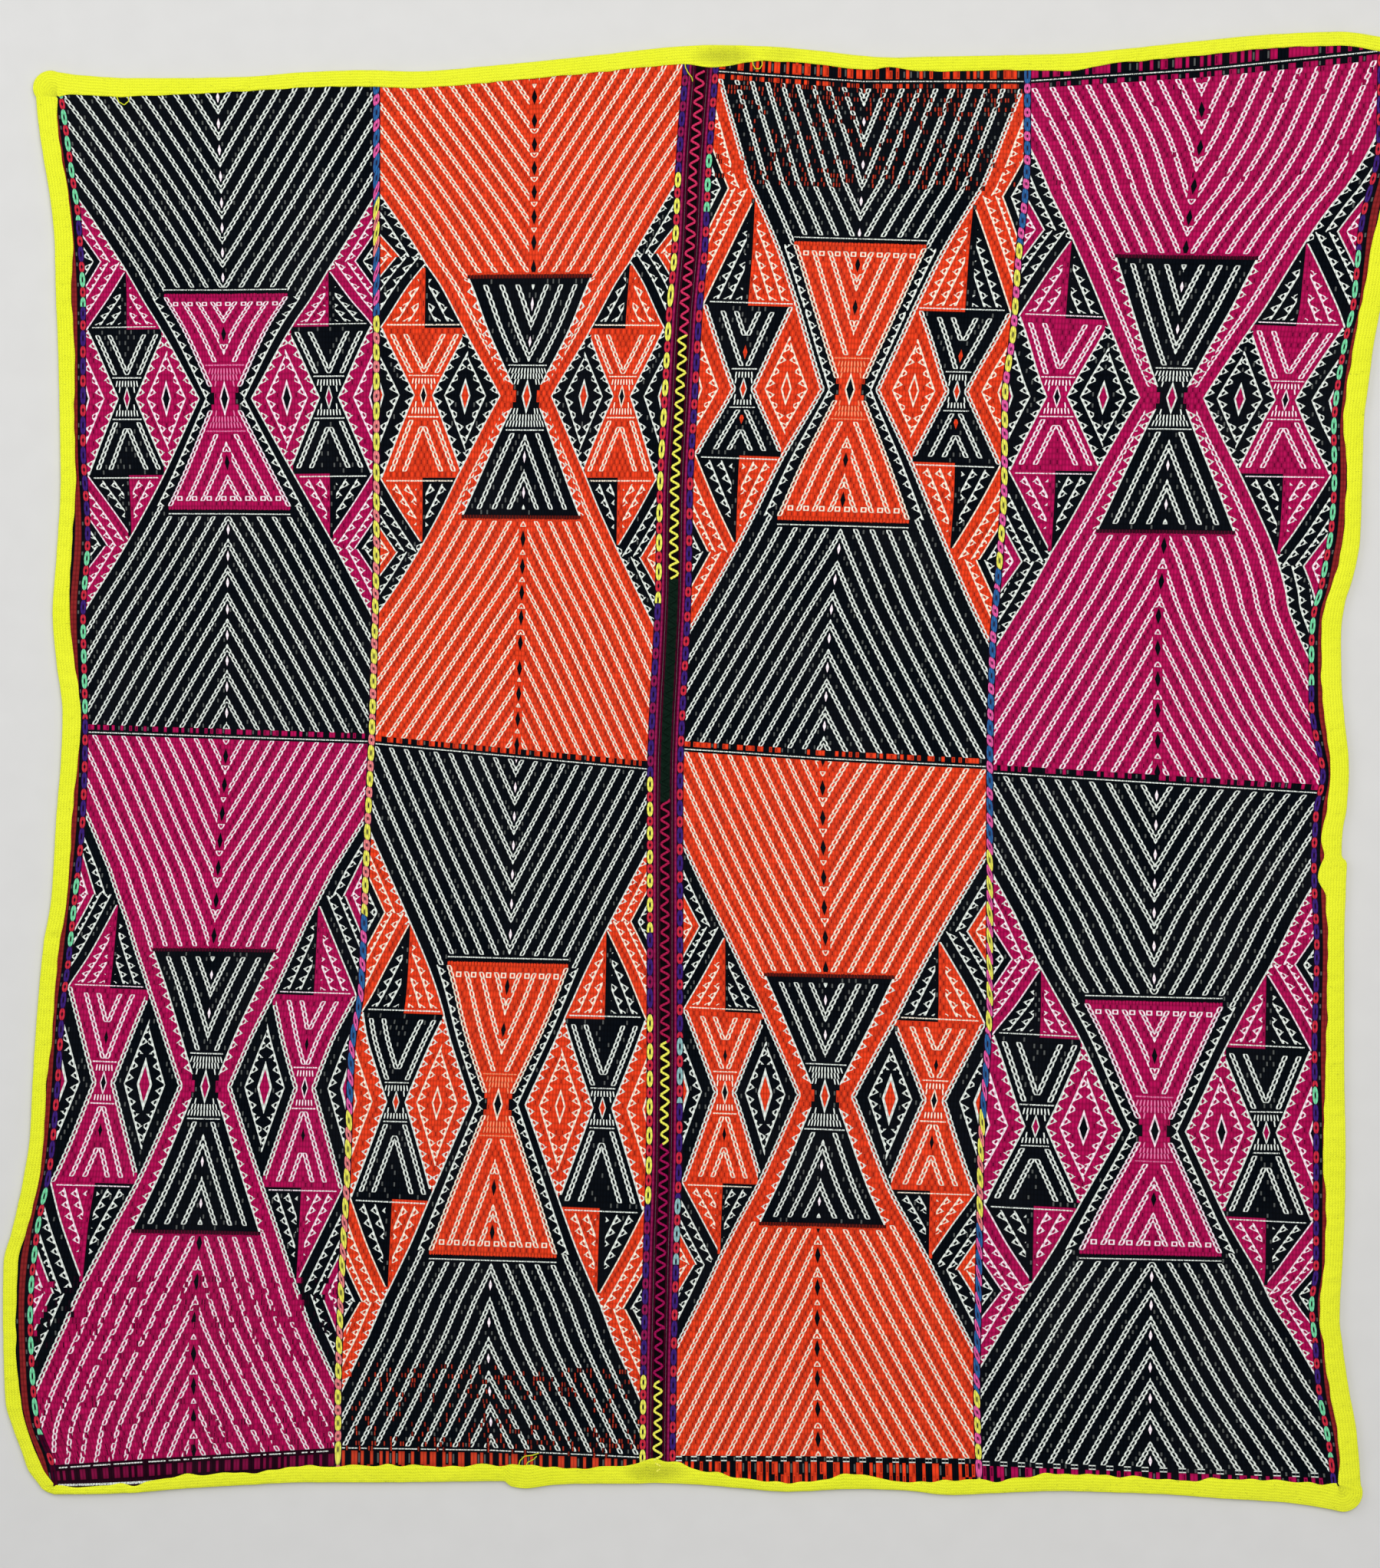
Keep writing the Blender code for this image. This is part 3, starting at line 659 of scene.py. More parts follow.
    # The split wedge beyond the base line, the ground beside it and the notch at the column's edge
    half.put(at_side & (r == base) & (a > outer + 1), WEFT, ink=field_ink)
    for n in range(1, 5):
        away = TOOTHED_PITCH * n
        for way, at, slope in ((1.0, outer + away, outer_slope), (-1.0, slant - away, -slant_slope)):
            own_side = a < SPLIT_CELL - 1 if way > 0 else a > SPLIT_CELL + 1
            own_half = in_split & (rise > 1.0) & own_side & (a > outer + CLEAR_OF_LINE)
            half.line(own_half, TOOTHED, at, slope, -way)
    edge_line = beyond_base & (a > outer + CLEAR_OF_LINE) & (a <= AXIS_CELL)
    half.edge(edge_line, slant, field, accent, -slant_slope, ink=accent_ink)
    open_cells = edge_line & ~in_split & ~notch & (a > slant + CLEAR_OF_LINE)
    for n in range(1, 5):
        low, high = open_cells & (middle_r > notch_r), open_cells & (middle_r <= notch_r)
        half.line(low, TOOTHED, outer + TOOTHED_PITCH * n, outer_slope, 1.0, ink=accent_ink)
        half.line(high, TOOTHED, slant + TOOTHED_PITCH * n, -slant_slope, 1.0, ink=accent_ink)
    half.edge(
        beyond_base & (a > AXIS_CELL - 6) & (np.abs(from_notch - 6) < 1.4) & ~in_split,
        AXIS_CELL - 5 + np.abs(middle_r - notch_r) * slant_slope, accent, field,
        np.where(middle_r > notch_r, slant_slope, -slant_slope), ink=accent_ink,
    )
    for way in (-1.0, 1.0):
        this_way = notch & (from_notch < 5) & ((middle_r - notch_r) * way > 0)
        at = AXIS_CELL - 2.4 + np.abs(middle_r - notch_r) * slant_slope
        half.line(this_way, TOOTHED, at, way * slant_slope, 1.0, ink=field_ink)


def weave_block(chart, left, rows, bends, first_chain, field, accent):
    """A whole block from its rows: start, wedge end, base, neck, base, wedge end and end."""
    start, upper_wedge, upper_base, neck, lower_base, lower_wedge, end = rows
    upper = Half(chart, left, neck, start, neck)
    weave_half(upper, neck - upper_base, neck - upper_wedge, bends[0], first_chain, field, accent)
    lower = Half(chart, left, neck, neck, end)
    weave_half(lower, lower_base - neck, lower_wedge - neck, bends[1], first_chain, field, accent)


def end_rows(chart, left, rows, kinds, ground, ink):
    """Rows across a column at a block's end. Ticks are floats of two colours in uneven blocks."""
    widths = chart.chance.integers(1, 3, COLUMN_CELLS)
    inked = np.repeat(np.arange(COLUMN_CELLS) % 2 == 0, widths)[:COLUMN_CELLS]
    for row, kind in zip(rows, kinds):
        part = chart.part(row, row + 1, left, left + COLUMN_CELLS)
        part["mark"][..., 0] = PLAIN if kind == TICK else kind
        part["mark"][..., 1:] = 0.0
        if kind == HOOK:
            skipped = (np.arange(COLUMN_CELLS) % LINE_PITCH) > 1
            part["mark"][..., 0][:, skipped] = PLAIN
        part["ground"][:] = ground
        if kind == TICK:
            part["ground"][0, inked] = ink
            inked = np.where(chart.chance.random(COLUMN_CELLS) < 0.2, ~inked, inked)
        part["ink"][:] = ink


def misweave(chart, left, first, last, share, colour):
    """Short floats of the wrong colour, and gaps in the chains, where the weaving is uneven."""
    part = chart.part(first, last, left, left + COLUMN_CELLS)
    draw = chart.chance.random(part["mark"].shape[:2])
    grown = np.abs(np.linspace(-1.0, 1.0, last - first))[:, None]
    often = np.where(part["mark"][..., 0] == PLAIN, 1.0, 0.4)
    spots = draw < share * (0.4 + grown) * often
    part["mark"][..., 0][spots] = DASH
    part["other"][spots] = colour
    part["lie"][..., 1][spots] = 1.0
    part["lie"][..., 2][spots] = chart.chance.uniform(0.25, 0.9, draw.shape)[spots]


def stripe(chart, columns, stretches, spotted=True):
    """Links of two colours in turn down one warp stripe, each pair from its row to the next's."""
    middle = (columns[0] + columns[-1]) / 2.0
    ends = [stretch[0] for stretch in stretches[1:]] + [chart.size[0]]
    for (first, one, two), last in zip(stretches, ends):
        for row in range(first, last):
            place = (row - first) % 5
            colour, up, squeeze = (one, place - 1.0, 0.4) if place < 3 else (two, place - 3.5, 0.8)
            for column in columns:
                chart.ground[row, column] = DARK_GROUND if spotted else one
                chart.ink[row, column] = colour
                chart.mark[row, column] = (
                    SPOT if spotted else PLAIN, (column - middle) * 2.0 / len(columns), up,
                )
                chart.lie[row, column] = (0.0, 1.0, squeeze)


def flecks(chart):
    """Small dashes of the other warp that show through the plain grounds, and uneven dye."""
    rows, columns = chart.size
    draw = chart.chance.random((rows, columns))
    tone = chart.chance.normal(1.0, 0.07, (rows, columns))
    plain = chart.mark[..., 0] == PLAIN
    row_index, column_index = np.indices((rows, columns))
    lattice = (row_index + column_index) % 2 == 0
    for ground, share, other in ((ORANGE, 0.85, UMBER), (MAGENTA, 0.5, MAROON), (BLACK, 0.35, WHITE)):
        here = plain & lattice & (draw < share) & np.all(chart.ground == ground, axis=-1)
        chart.mark[..., 0][here] = DASH
        chart.other[here] = other
        chart.lie[..., 1][here] = 0.0
        chart.lie[..., 2][here] = 0.09 if ground == BLACK else 0.8
    chart.ground *= tone[..., None]


def weave_columns(chart, levels, columns):
    """Weaves a panel's two pattern columns on a black ground. Gives the rows of its levels."""
    rows = [level[0] for level in levels]
    chart.ground[:] = BLACK
    chart.ink[:] = WHITE
    for left, name in columns:
        for block, (field, accent) in enumerate(SCHEMES[name]):
            picked = rows[6 * block:6 * block + 7]
            if block == 0:
                picked[0] = 0
            else:
                picked[-1] = chart.size[0]
            bends = BENDS[name][2 * block:2 * block + 2]
            weave_block(chart, left, picked, bends, FIRST_CHAIN[name][block], field, accent)
    return rows


def left_chart():
    """The left panel's chart: outer stripes, two columns, and the stripes beside the seam."""
    chart = Chart(LEFT_ROWS, SEED)
    rows = weave_columns(chart, LEFT_LEVELS, ((9, "first"), (107, "second")))
    for column, colour in ((4, BRICK), (5, BRICK), (205, MAROON), (204, ROSE)):
        stripe(chart, (column,), ((0, colour, colour),), spotted=False)
    spots = (
        (0, MINT, RED), (26, PURPLE, RED), (36, MINT, RED), (43, PURPLE, RED), (88, MINT, RED),
        (98, PURPLE, RED), (103, MINT, RED), (122, PURPLE, RED), (151, MINT, RED),
        (164, PURPLE, RED), (207, MINT, RED), (248, MAROON, RED),
    )
    between = (
        (0, BLUE, PINK), (18, BLUE, PINK), (24, YELLOW, SALMON), (34, BLUE, PINK),
        (46, YELLOW, SALMON), (120, YELLOW, SALMON), (157, BLUE, PINK), (192, YELLOW, SALMON),
    )
    by_seam = (
        (0, PURPLE, ROSE), (22, YELLOW, RED), (94, PURPLE, ROSE), (126, YELLOW, RED),
        (158, PURPLE, ROSE), (172, YELLOW, RED), (205, PURPLE, ROSE), (237, YELLOW, RED),
    )
    for columns, stretches in (((7, 8), spots), ((104, 105, 106), between), ((202, 203), by_seam)):
        stripe(chart, columns, stretches)
    middle, last = rows[6], rows[-1]
    closing = (last - 1, last, last + 1)
    end_rows(chart, 9, (middle - 1, middle), (TICK, WEFT), BLACK, MAGENTA)
    end_rows(chart, 107, (middle - 1, middle), (TICK, WEFT), BLACK, ORANGE)
    end_rows(chart, 9, closing, (WEFT, TICK, WEFT), DARK_MAROON, WINE)
    end_rows(chart, 107, closing, (WEFT, TICK, TICK), BLACK, EMBER)
    for left in (9, 107):
        for row in (middle, last - 1):
            chart.ink[row, left:left + COLUMN_CELLS] = WHITE
    chart.ink[last + 1, 9:9 + COLUMN_CELLS] = WHITE
    misweave(chart, 9, 222, 254, 0.42, DARK_MAROON)
    misweave(chart, 107, 236, 254, 0.28, EMBER)
    flecks(chart)
    return chart


def right_chart():
    """The right panel's chart: stripes beside the seam, two columns, and outer stripes."""
    chart = Chart(RIGHT_ROWS, SEED + 1)
    rows = weave_columns(chart, RIGHT_LEVELS, ((4, "third"), (102, "fourth")))
    for column, colour in ((200, BRICK), (201, BRICK), (0, MAROON), (1, ROSE)):
        stripe(chart, (column,), ((0, colour, colour),), spotted=False)
    spots = (
        (0, PURPLE, RED), (36, MINT, RED), (113, PURPLE, RED), (187, MINT, RED),
        (190, PURPLE, RED), (225, MINT, RED), (234, PURPLE, RED), (245, MINT, RED),
        (256, RED, PURPLE),
    )
    between = (
        (0, BLUE, PINK), (36, YELLOW, PINK), (94, BLUE, PINK), (98, BLUE, PINK), (133, BLUE, PINK),
        (148, YELLOW, PINK), (182, BLUE, PINK), (195, YELLOW, SALMON), (215, BLUE, PINK),
        (246, YELLOW, PINK),
    )
    by_seam = (
        (0, PURPLE, RED), (20, MINT, RED), (32, PURPLE, RED), (186, TEAL, RED), (197, PURPLE, RED),
        (213, TEAL, RED), (225, PURPLE, RED),
    )
    for columns, stretches in (((197, 198), spots), ((99, 100, 101), between), ((2, 3), by_seam)):
        stripe(chart, columns, stretches)
    middle, last = rows[6], rows[-1]
    opening, opening_marks = (0, 1, 2, 3, middle - 1, middle), (TICK, TICK, WEFT, TICK, TICK, WEFT)
    closing, closing_marks = (last - 1, last, last + 1), (HOOK, TICK, TICK)
    end_rows(chart, 4, opening, opening_marks, BLACK, ORANGE)
    end_rows(chart, 102, opening, opening_marks, BLACK, MAGENTA)
    end_rows(chart, 4, closing, closing_marks, BLACK, ORANGE)
    end_rows(chart, 102, closing, closing_marks, BLACK, MAGENTA)
    for left in (4, 102):
        for row in (2, middle, last - 1):
            chart.ink[row, left:left + COLUMN_CELLS] = WHITE
    misweave(chart, 4, 3, 26, 0.36, EMBER)
    misweave(chart, 102, 3, 24, 0.06, BLACK)
    flecks(chart)
    return chart


def level_heights(levels, rows, stations):
    """Millimetres up the cloth of each row line at each column line, from the levels."""
    places = [level[0] for level in levels]
    row_lines = np.arange(rows + 1)
    above, below = row_lines < places[0], row_lines > places[-1]
    lines = []
    for column in range(2):
        for third in range(3):
            heights = [float(level[1 + column][third]) for level in levels]
            line = curve(list(zip(places, heights)), 1)(row_lines)
            first_step = line[4] - line[3]
            last_step = line[places[-1] - 1] - line[places[-1] - 2]
            line[above] = line[places[0]] - (places[0] - row_lines[above]) * first_step
            line[below] = line[places[-1]] + (row_lines[below] - places[-1]) * last_step
            lines.append(up_from_plan(line))
    column_lines = np.arange(PANEL_CELLS + 1)
    return np.array([np.interp(column_lines, stations, known) for known in np.array(lines).T])


def grid_points(side, levels, rows):
    """Where the corners of a panel's cells lie on the cloth, in millimetres."""
    if side == "left":
        stations = (9, 56, 104, 107, 154, 202)
        outer_stripe, divide = plan_line(LEFT_STRIPE), plan_line(LEFT_DIVIDE)
        lines = (  # column line, the curve that it follows, and how far it is to the right of that
            (0, left_outer, TUCK),
            (7, outer_stripe, -STRIPE_HALF),
            (9, outer_stripe, STRIPE_HALF),
            (56.5, plan_line(FIRST_AXIS), 0.0),
            (104, divide, -DIVIDE_HALF),
            (107, divide, DIVIDE_HALF),
            (154.5, plan_line(SECOND_AXIS), 0.0),
            (202, seam_line, -COLUMN_FROM_SEAM),
            (204, seam_line, -SPOTS_FROM_SEAM),
            (206, seam_line, -SEAM_HALF - GAP),
        )
    else:
        stations = (4, 51, 99, 102, 149, 197)
        outer_stripe, divide = plan_line(RIGHT_STRIPE), plan_line(RIGHT_DIVIDE)
        lines = (
            (0, seam_line, SEAM_HALF + GAP),
            (2, seam_line, SPOTS_FROM_SEAM),
            (4, seam_line, COLUMN_FROM_SEAM),
            (51.5, plan_line(THIRD_AXIS), 0.0),
            (99, divide, -DIVIDE_HALF),
            (102, divide, DIVIDE_HALF),
            (149.5, plan_line(FOURTH_AXIS), 0.0),
            (197, outer_stripe, -STRIPE_HALF),
            (199, outer_stripe, STRIPE_HALF),
            (206, right_outer, -TUCK),
        )
    up = level_heights(levels, rows, stations)
    columns = np.tile(np.arange(PANEL_CELLS + 1), rows + 1)
    knots = [line[0] for line in lines]
    for _ in range(3):
        flat = up.ravel()
        along = [follows(flat) + aside for _, follows, aside in lines]
        across = np.zeros_like(flat)
        for index, (first, last) in enumerate(zip(knots, knots[1:])):
            here = (columns >= first) & (columns <= last)
            share = (columns[here] - first) / (last - first)
            across[here] = along[index][here] * (1.0 - share) + along[index + 1][here] * share
        across = across.reshape(up.shape)
        top = top_outer(across[0]) - TUCK
        bottom = bottom_outer(across[-1]) + TUCK
        up[0] = top
        up[1] = (top + up[2]) / 2.0
        up[-1] = bottom
        up[-2] = (bottom + up[-3]) / 2.0
    return held_in_corners(across, up)


def add_object(name, data, location=(0.0, 0.0, 0.0)):
    """Puts a mesh, lamp or camera in the scene."""
    made = bpy.data.objects.new(name, data)
    made.location = location
    bpy.context.scene.collection.objects.link(made)
    return made


def new_piece(name, points, faces, material):
    """Makes one named object from points in millimetres about the plan's middle."""
    placed = (np.asarray(points, dtype=float) - (MIDDLE[0], MIDDLE[1], 0.0)) * MM
    mesh = bpy.data.meshes.new(name)
    mesh.from_pydata(placed.tolist(), [], faces)
    mesh.update()
    mesh.materials.append(material)
    return add_object(name, mesh)


def face_values(mesh, name, values):
    """Stores three numbers on each face."""
    layer = mesh.attributes.new(name, "FLOAT_VECTOR", "FACE")
    layer.data.foreach_set("vector", np.asarray(values, dtype=np.float32).ravel())


# The bake layout of a panel: its top from 0 up to BAKE_TOP, the underside and the rim above that
BAKE_TOP = 0.86
BAKE_UNDER, BAKE_UNDER_HIGH = 0.885, 0.085
BAKE_RIM, BAKE_RIM_HIGH = 0.985, 0.01
BAKE_MARGIN, BAKE_WIDE = 0.01, 0.98


def lay_out(mesh, name, layout):
    """Stores a flat layout of a mesh, one place for each corner of each face."""
    layer = mesh.uv_layers.new(name=name)
    layer.data.foreach_set("uv", np.asarray(layout, dtype=np.float32).ravel())


def add_panel(name, side, chart, levels, rows, material):
    """A woven panel: a fine top of one face a cell, a coarser underside, and its rim."""
    x, y = grid_points(side, levels, rows)
    low = edge_lift(x, y) + swell(x, y)
    wide = PANEL_CELLS + 1
    upper = np.stack((x, y, low + CLOTH), axis=-1).reshape(-1, 3)
    index = np.arange(wide * (rows + 1)).reshape(rows + 1, wide)
    tops = np.stack(
        (index[1:, :-1], index[1:, 1:], index[:-1, 1:], index[:-1, :-1]), axis=-1
    ).reshape(-1, 4)
    coarse = index[::2, ::2]
    under = np.stack((x, y, low), axis=-1)[::2, ::2].reshape(-1, 3)
    under_index = np.arange(coarse.size).reshape(coarse.shape) + len(upper)
    unders = np.stack(
        (under_index[:-1, :-1], under_index[:-1, 1:], under_index[1:, 1:], under_index[1:, :-1]),
        axis=-1,
    ).reshape(-1, 4)
    rims = []
    for fine, rough in (
        (index[0], under_index[0]),
        (index[:, -1], under_index[:, -1]),
        (index[-1][::-1], under_index[-1][::-1]),
        (index[:, 0][::-1], under_index[:, 0][::-1]),
    ):
        for i in range(len(rough) - 1):
            rims.append((rough[i], fine[2 * i], fine[2 * i + 1], fine[2 * i + 2], rough[i + 1]))
    faces = tops.tolist() + unders.tolist() + [tuple(int(v) for v in rim) for rim in rims]
    piece = new_piece(name, np.concatenate((upper, under)), faces, material)
    mesh = piece.data
    swapped = np.where(
        (chart.mark[::2, ::2, 0] == PLAIN)[..., None], chart.ink[::2, ::2], chart.ground[::2, ::2]
    ).reshape(-1, 3)
    rim_colour = np.tile(MAROON, (len(rims), 1))
    back = np.concatenate((swapped, rim_colour))
    for label, values in (("ground", chart.ground), ("other", chart.other), ("ink", chart.ink)):
        face_values(mesh, label, np.concatenate((values.reshape(-1, 3), back)))
    nothing = np.zeros((len(unders) + len(rims), 3))
    for label, values in (("mark", chart.mark), ("lie", chart.lie)):
        face_values(mesh, label, np.concatenate((values.reshape(-1, 3), nothing)))

    # In each cell u runs to the right and v down
    top_corners = np.tile(((0.0, 1.0), (1.0, 1.0), (1.0, 0.0), (0.0, 0.0)), (len(tops), 1))
    under_corners = np.tile(((0.0, 0.0), (1.0, 0.0), (1.0, 1.0), (0.0, 1.0)), (len(unders), 1))
    lay_out(mesh, "cell", np.concatenate((top_corners, under_corners, np.zeros((len(rims) * 5, 2)))))

    spread = np.zeros((len(mesh.vertices), 2))
    grid_u, grid_v = np.meshgrid(np.linspace(0.0, 1.0, wide), np.linspace(1.0, 0.0, rows + 1))
    spread[:len(upper)] = np.stack((grid_u, grid_v * BAKE_TOP), axis=-1).reshape(-1, 2)
    under_u = grid_u[::2, ::2] * BAKE_WIDE + BAKE_MARGIN
    under_v = BAKE_UNDER + grid_v[::2, ::2] * BAKE_UNDER_HIGH
    spread[len(upper):] = np.stack((under_u, under_v), axis=-1).reshape(-1, 2)
    corner_points = np.zeros(len(mesh.loops), dtype=np.int64)
    mesh.loops.foreach_get("vertex_index", corner_points)
    layout = spread[corner_points]
    rim_start = (len(tops) + len(unders)) * 4
    each = np.tile(((0.0, 0.0), (0.0, 1.0), (0.5, 1.0), (1.0, 1.0), (1.0, 0.0)), (len(rims), 1))
    place = np.repeat(np.arange(len(rims)), 5) + 0.1 + each[:, 0] * 0.8
    layout[rim_start:, 0] = BAKE_MARGIN + place * BAKE_WIDE / len(rims)
    layout[rim_start:, 1] = BAKE_RIM + each[:, 1] * BAKE_RIM_HIGH
    lay_out(mesh, "OFBake", layout)
    return piece


def maths(operation):
    """A method that does one kind of maths on a number in a material."""

    def method(self, *others):
        inputs = dict(enumerate((self, *others)))
        return self.looks.node("ShaderNodeMath", {"operation": operation}, inputs)

    return method


class Value:
    """A number in a material, so that its maths reads as plain sums."""

    __add__ = __radd__ = maths("ADD")
    __sub__ = maths("SUBTRACT")
    __mul__ = __rmul__ = maths("MULTIPLY")
    __truediv__ = maths("DIVIDE")
    __abs__ = maths("ABSOLUTE")
    __lt__ = maths("LESS_THAN")
    __gt__ = maths("GREATER_THAN")
    most = maths("MAXIMUM")
    sine = maths("SINE")

    def __init__(self, looks, socket):
        self.looks = looks
        self.socket = socket

    def __rsub__(self, other):
        return self.looks.node("ShaderNodeMath", {"operation": "SUBTRACT"}, {0: other, 1: self})

    def equals(self, code):
        inputs = {0: self, 1: float(code), 2: 0.25}
        return self.looks.node("ShaderNodeMath", {"operation": "COMPARE"}, inputs)


class Looks:
    """One material and the nodes that make it."""

    def __init__(self, name):
        self.material = bpy.data.materials.new(name)
        self.material.use_nodes = True
        self.tree = self.material.node_tree
        self.shader = self.tree.nodes["Principled BSDF"]

    def node(self, kind, settings, inputs, output=0):
        """Adds a node: its settings first, then the values or links of its sockets."""
        made = self.tree.nodes.new(kind)
        for setting, value in settings.items():
            setattr(made, setting, value)
        for place, value in inputs.items():
            self.join(value, made.inputs[place])
        return Value(self, made.outputs[output])

    def join(self, value, socket):
        """Links a value to a socket, or sets the socket to a plain number or colour."""
        if isinstance(value, Value):
            self.tree.links.new(value.socket, socket)
        else:
            socket.default_value = value

    def mix(self, share, first, second, blend="MIX"):
        """Blends two colours."""
        settings = {"data_type": "RGBA", "blend_type": blend}
        return self.node("ShaderNodeMix", settings, {0: share, 6: first, 7: second}, output=2)

    def shaded(self, colour, painted_shade):
        """A colour made darker or lighter by a number, as painted shade."""
        grey = self.node("ShaderNodeCombineXYZ", {}, {0: painted_shade, 1: painted_shade, 2: painted_shade})
        return self.mix(1.0, colour, grey, "MULTIPLY")

    def parts(self, vector):
        """The three numbers of a vector."""
        made = self.tree.nodes.new("ShaderNodeSeparateXYZ")
        self.join(vector, made.inputs[0])
        return [Value(self, made.outputs[i]) for i in range(3)]

    def held(self, name):
        """Three numbers that the mesh holds."""
        return self.node("ShaderNodeAttribute", {"attribute_name": name}, {}, output="Vector")

    def map(self, name):
        """A flat layout of the mesh."""
        return self.node("ShaderNodeUVMap", {"uv_map": name}, {})

    def place(self):
        """A point's own place on the object, in metres."""
        return self.node("ShaderNodeTexCoord", {}, {}, output="Object")

    def stretched(self, vector, x, y, z):
        """A vector with each of its parts scaled."""
        return self.node("ShaderNodeVectorMath", {"operation": "MULTIPLY"}, {0: vector, 1: (x, y, z)})

    def noise(self, vector, scale, detail, roughness=0.5):
        """Soft noise between 0 and 1."""
        inputs = {"Vector": vector, "Scale": scale, "Detail": detail, "Roughness": roughness}
        return self.node("ShaderNodeTexNoise", {}, inputs)

    def relief(self, height, distance, strength=1.0):
        """A bump from a height between 0 and 1."""
        inputs = {"Height": height, "Distance": distance, "Strength": strength}
        return self.node("ShaderNodeBump", {}, inputs, output="Normal")


def woven_looks(name):
    """Warp-faced weave that draws each cell's mark in its colours, with painted shade between the
    yarns.
    """
    looks = Looks(name)
    kind, along, up = looks.parts(looks.held("mark"))
    way, turn, strength = looks.parts(looks.held("lie"))
    u, v, _ = looks.parts(looks.map("cell"))
    x = u - 0.5
    y = v - 0.5
    folded = looks.node("ShaderNodeMix", {}, {0: turn > 1.5, 2: x, 3: abs(x)})
    across = along + folded - way * y
    rise = up + y
    wide = abs(across)
    high = abs(rise)
    centred = abs(x)
    tall = abs(y)
    wide_place = abs(along + x)

    place = looks.place()
    fibres = looks.noise(looks.stretched(place, 2600.0, 700.0, 700.0), 1.0, 3.0, 0.6)

    dot = (across * across * 8.5 + y * y * 6.5) < 1.0
    chain = (wide < 0.84 - tall * tall * 0.9) * (1.0 - dot)
    edge = wide < 0.26
    outward = across * turn
    hole = ((outward - 0.85) * (outward - 0.85) * 6.5 + rise * rise * 9.0) < 1.0
    tooth_block = (outward > 0.0) * ((outward * 0.36 + high) < 0.84) * (1.0 - hole)
    toothed = (wide < 0.22).most(tooth_block)
    ring = (wide_place * 0.5).most(tall)
    hook = (ring < 0.46) * (ring > 0.24)
    tick = (centred < 0.46) * (y * turn < fibres * 0.9 - 0.28)
    eye_size = (wide_place * 0.75 + high * 0.42) / way.most(0.1)
    eye = (eye_size < 1.05) * (eye_size > 0.72) * turn
    pupil = eye_size < 0.72
    weft = (tall < 0.11) * (fibres > 0.44)
    comb = abs(x + along * y) < 0.2
    aside = (strength - 0.55) * turn * 0.7
    dash = (abs(x - aside) < 0.25 - turn * 0.04) * (tall < turn * 0.08 + 0.36)
    link = across * across * 1.2 + rise * rise * strength
    spot = (link < 0.95) * ((across * across * 4.0 + rise * rise * strength * 2.6) > 0.3)

    marks = (
        (CHAIN, chain), (EDGE, edge), (TOOTHED, toothed), (HOOK, hook), (TICK, tick), (EYE, eye),
        (WEFT, weft), (COMB, comb), (RIM, toothed), (SPOT, spot), (BORDER, chain),
    )
    inked = 0.0
    for code, shape in marks:
        inked = inked + kind.equals(code) * shape
    meeting = kind.equals(EDGE) + kind.equals(RIM) + kind.equals(BORDER)
    beyond = meeting * (across > 0.0) + kind.equals(EYE) * pupil
    beyond = beyond + kind.equals(DASH) * dash * strength

    wear = looks.noise(looks.stretched(place, 14.0, 9.0, 9.0), 1.0, 3.0, 0.55)
    ground = looks.mix(beyond, looks.held("ground"), looks.held("other"))
    colour = looks.mix(inked * (0.86 + fibres * 0.14), ground, looks.held("ink"))
    # Painted shade: each cell's colour is darkened towards its sides and ends, standing in for the
    # shade in the gaps between yarns and floats. Fibre noise adds uneven tone, and the same float
    # shape also gives the bump.
    yarn = 1.0 - centred * centred * 3.0
    float_relief_and_shade = yarn * (1.0 - tall * tall * 2.4)
    painted_shade = 0.26 + float_relief_and_shade * 0.64 + fibres * 0.34
    faded = looks.mix((wear - 0.4) * 0.08, looks.shaded(colour, painted_shade), (0.10, 0.09, 0.10, 1.0))
    looks.join(faded, looks.shader.inputs["Base Color"])
    looks.join(0.94 - fibres * 0.12, looks.shader.inputs["Roughness"])
    height = float_relief_and_shade * 0.6 + inked * 0.28 + fibres * 0.3
    looks.join(looks.relief(height, 0.0004, 0.9), looks.shader.inputs["Normal"])
    looks.shader.inputs["Specular IOR Level"].default_value = 0.02
    return looks.material


OPEN_NETS = (  # x, y in metres, and how closed the net is at its middle
    (0.014, 0.540, 0.35),
    (0.058, 0.541, 0.72),
    (-0.0374, -0.5285, 0.35),
    (-0.09, -0.5275, 0.8),
)


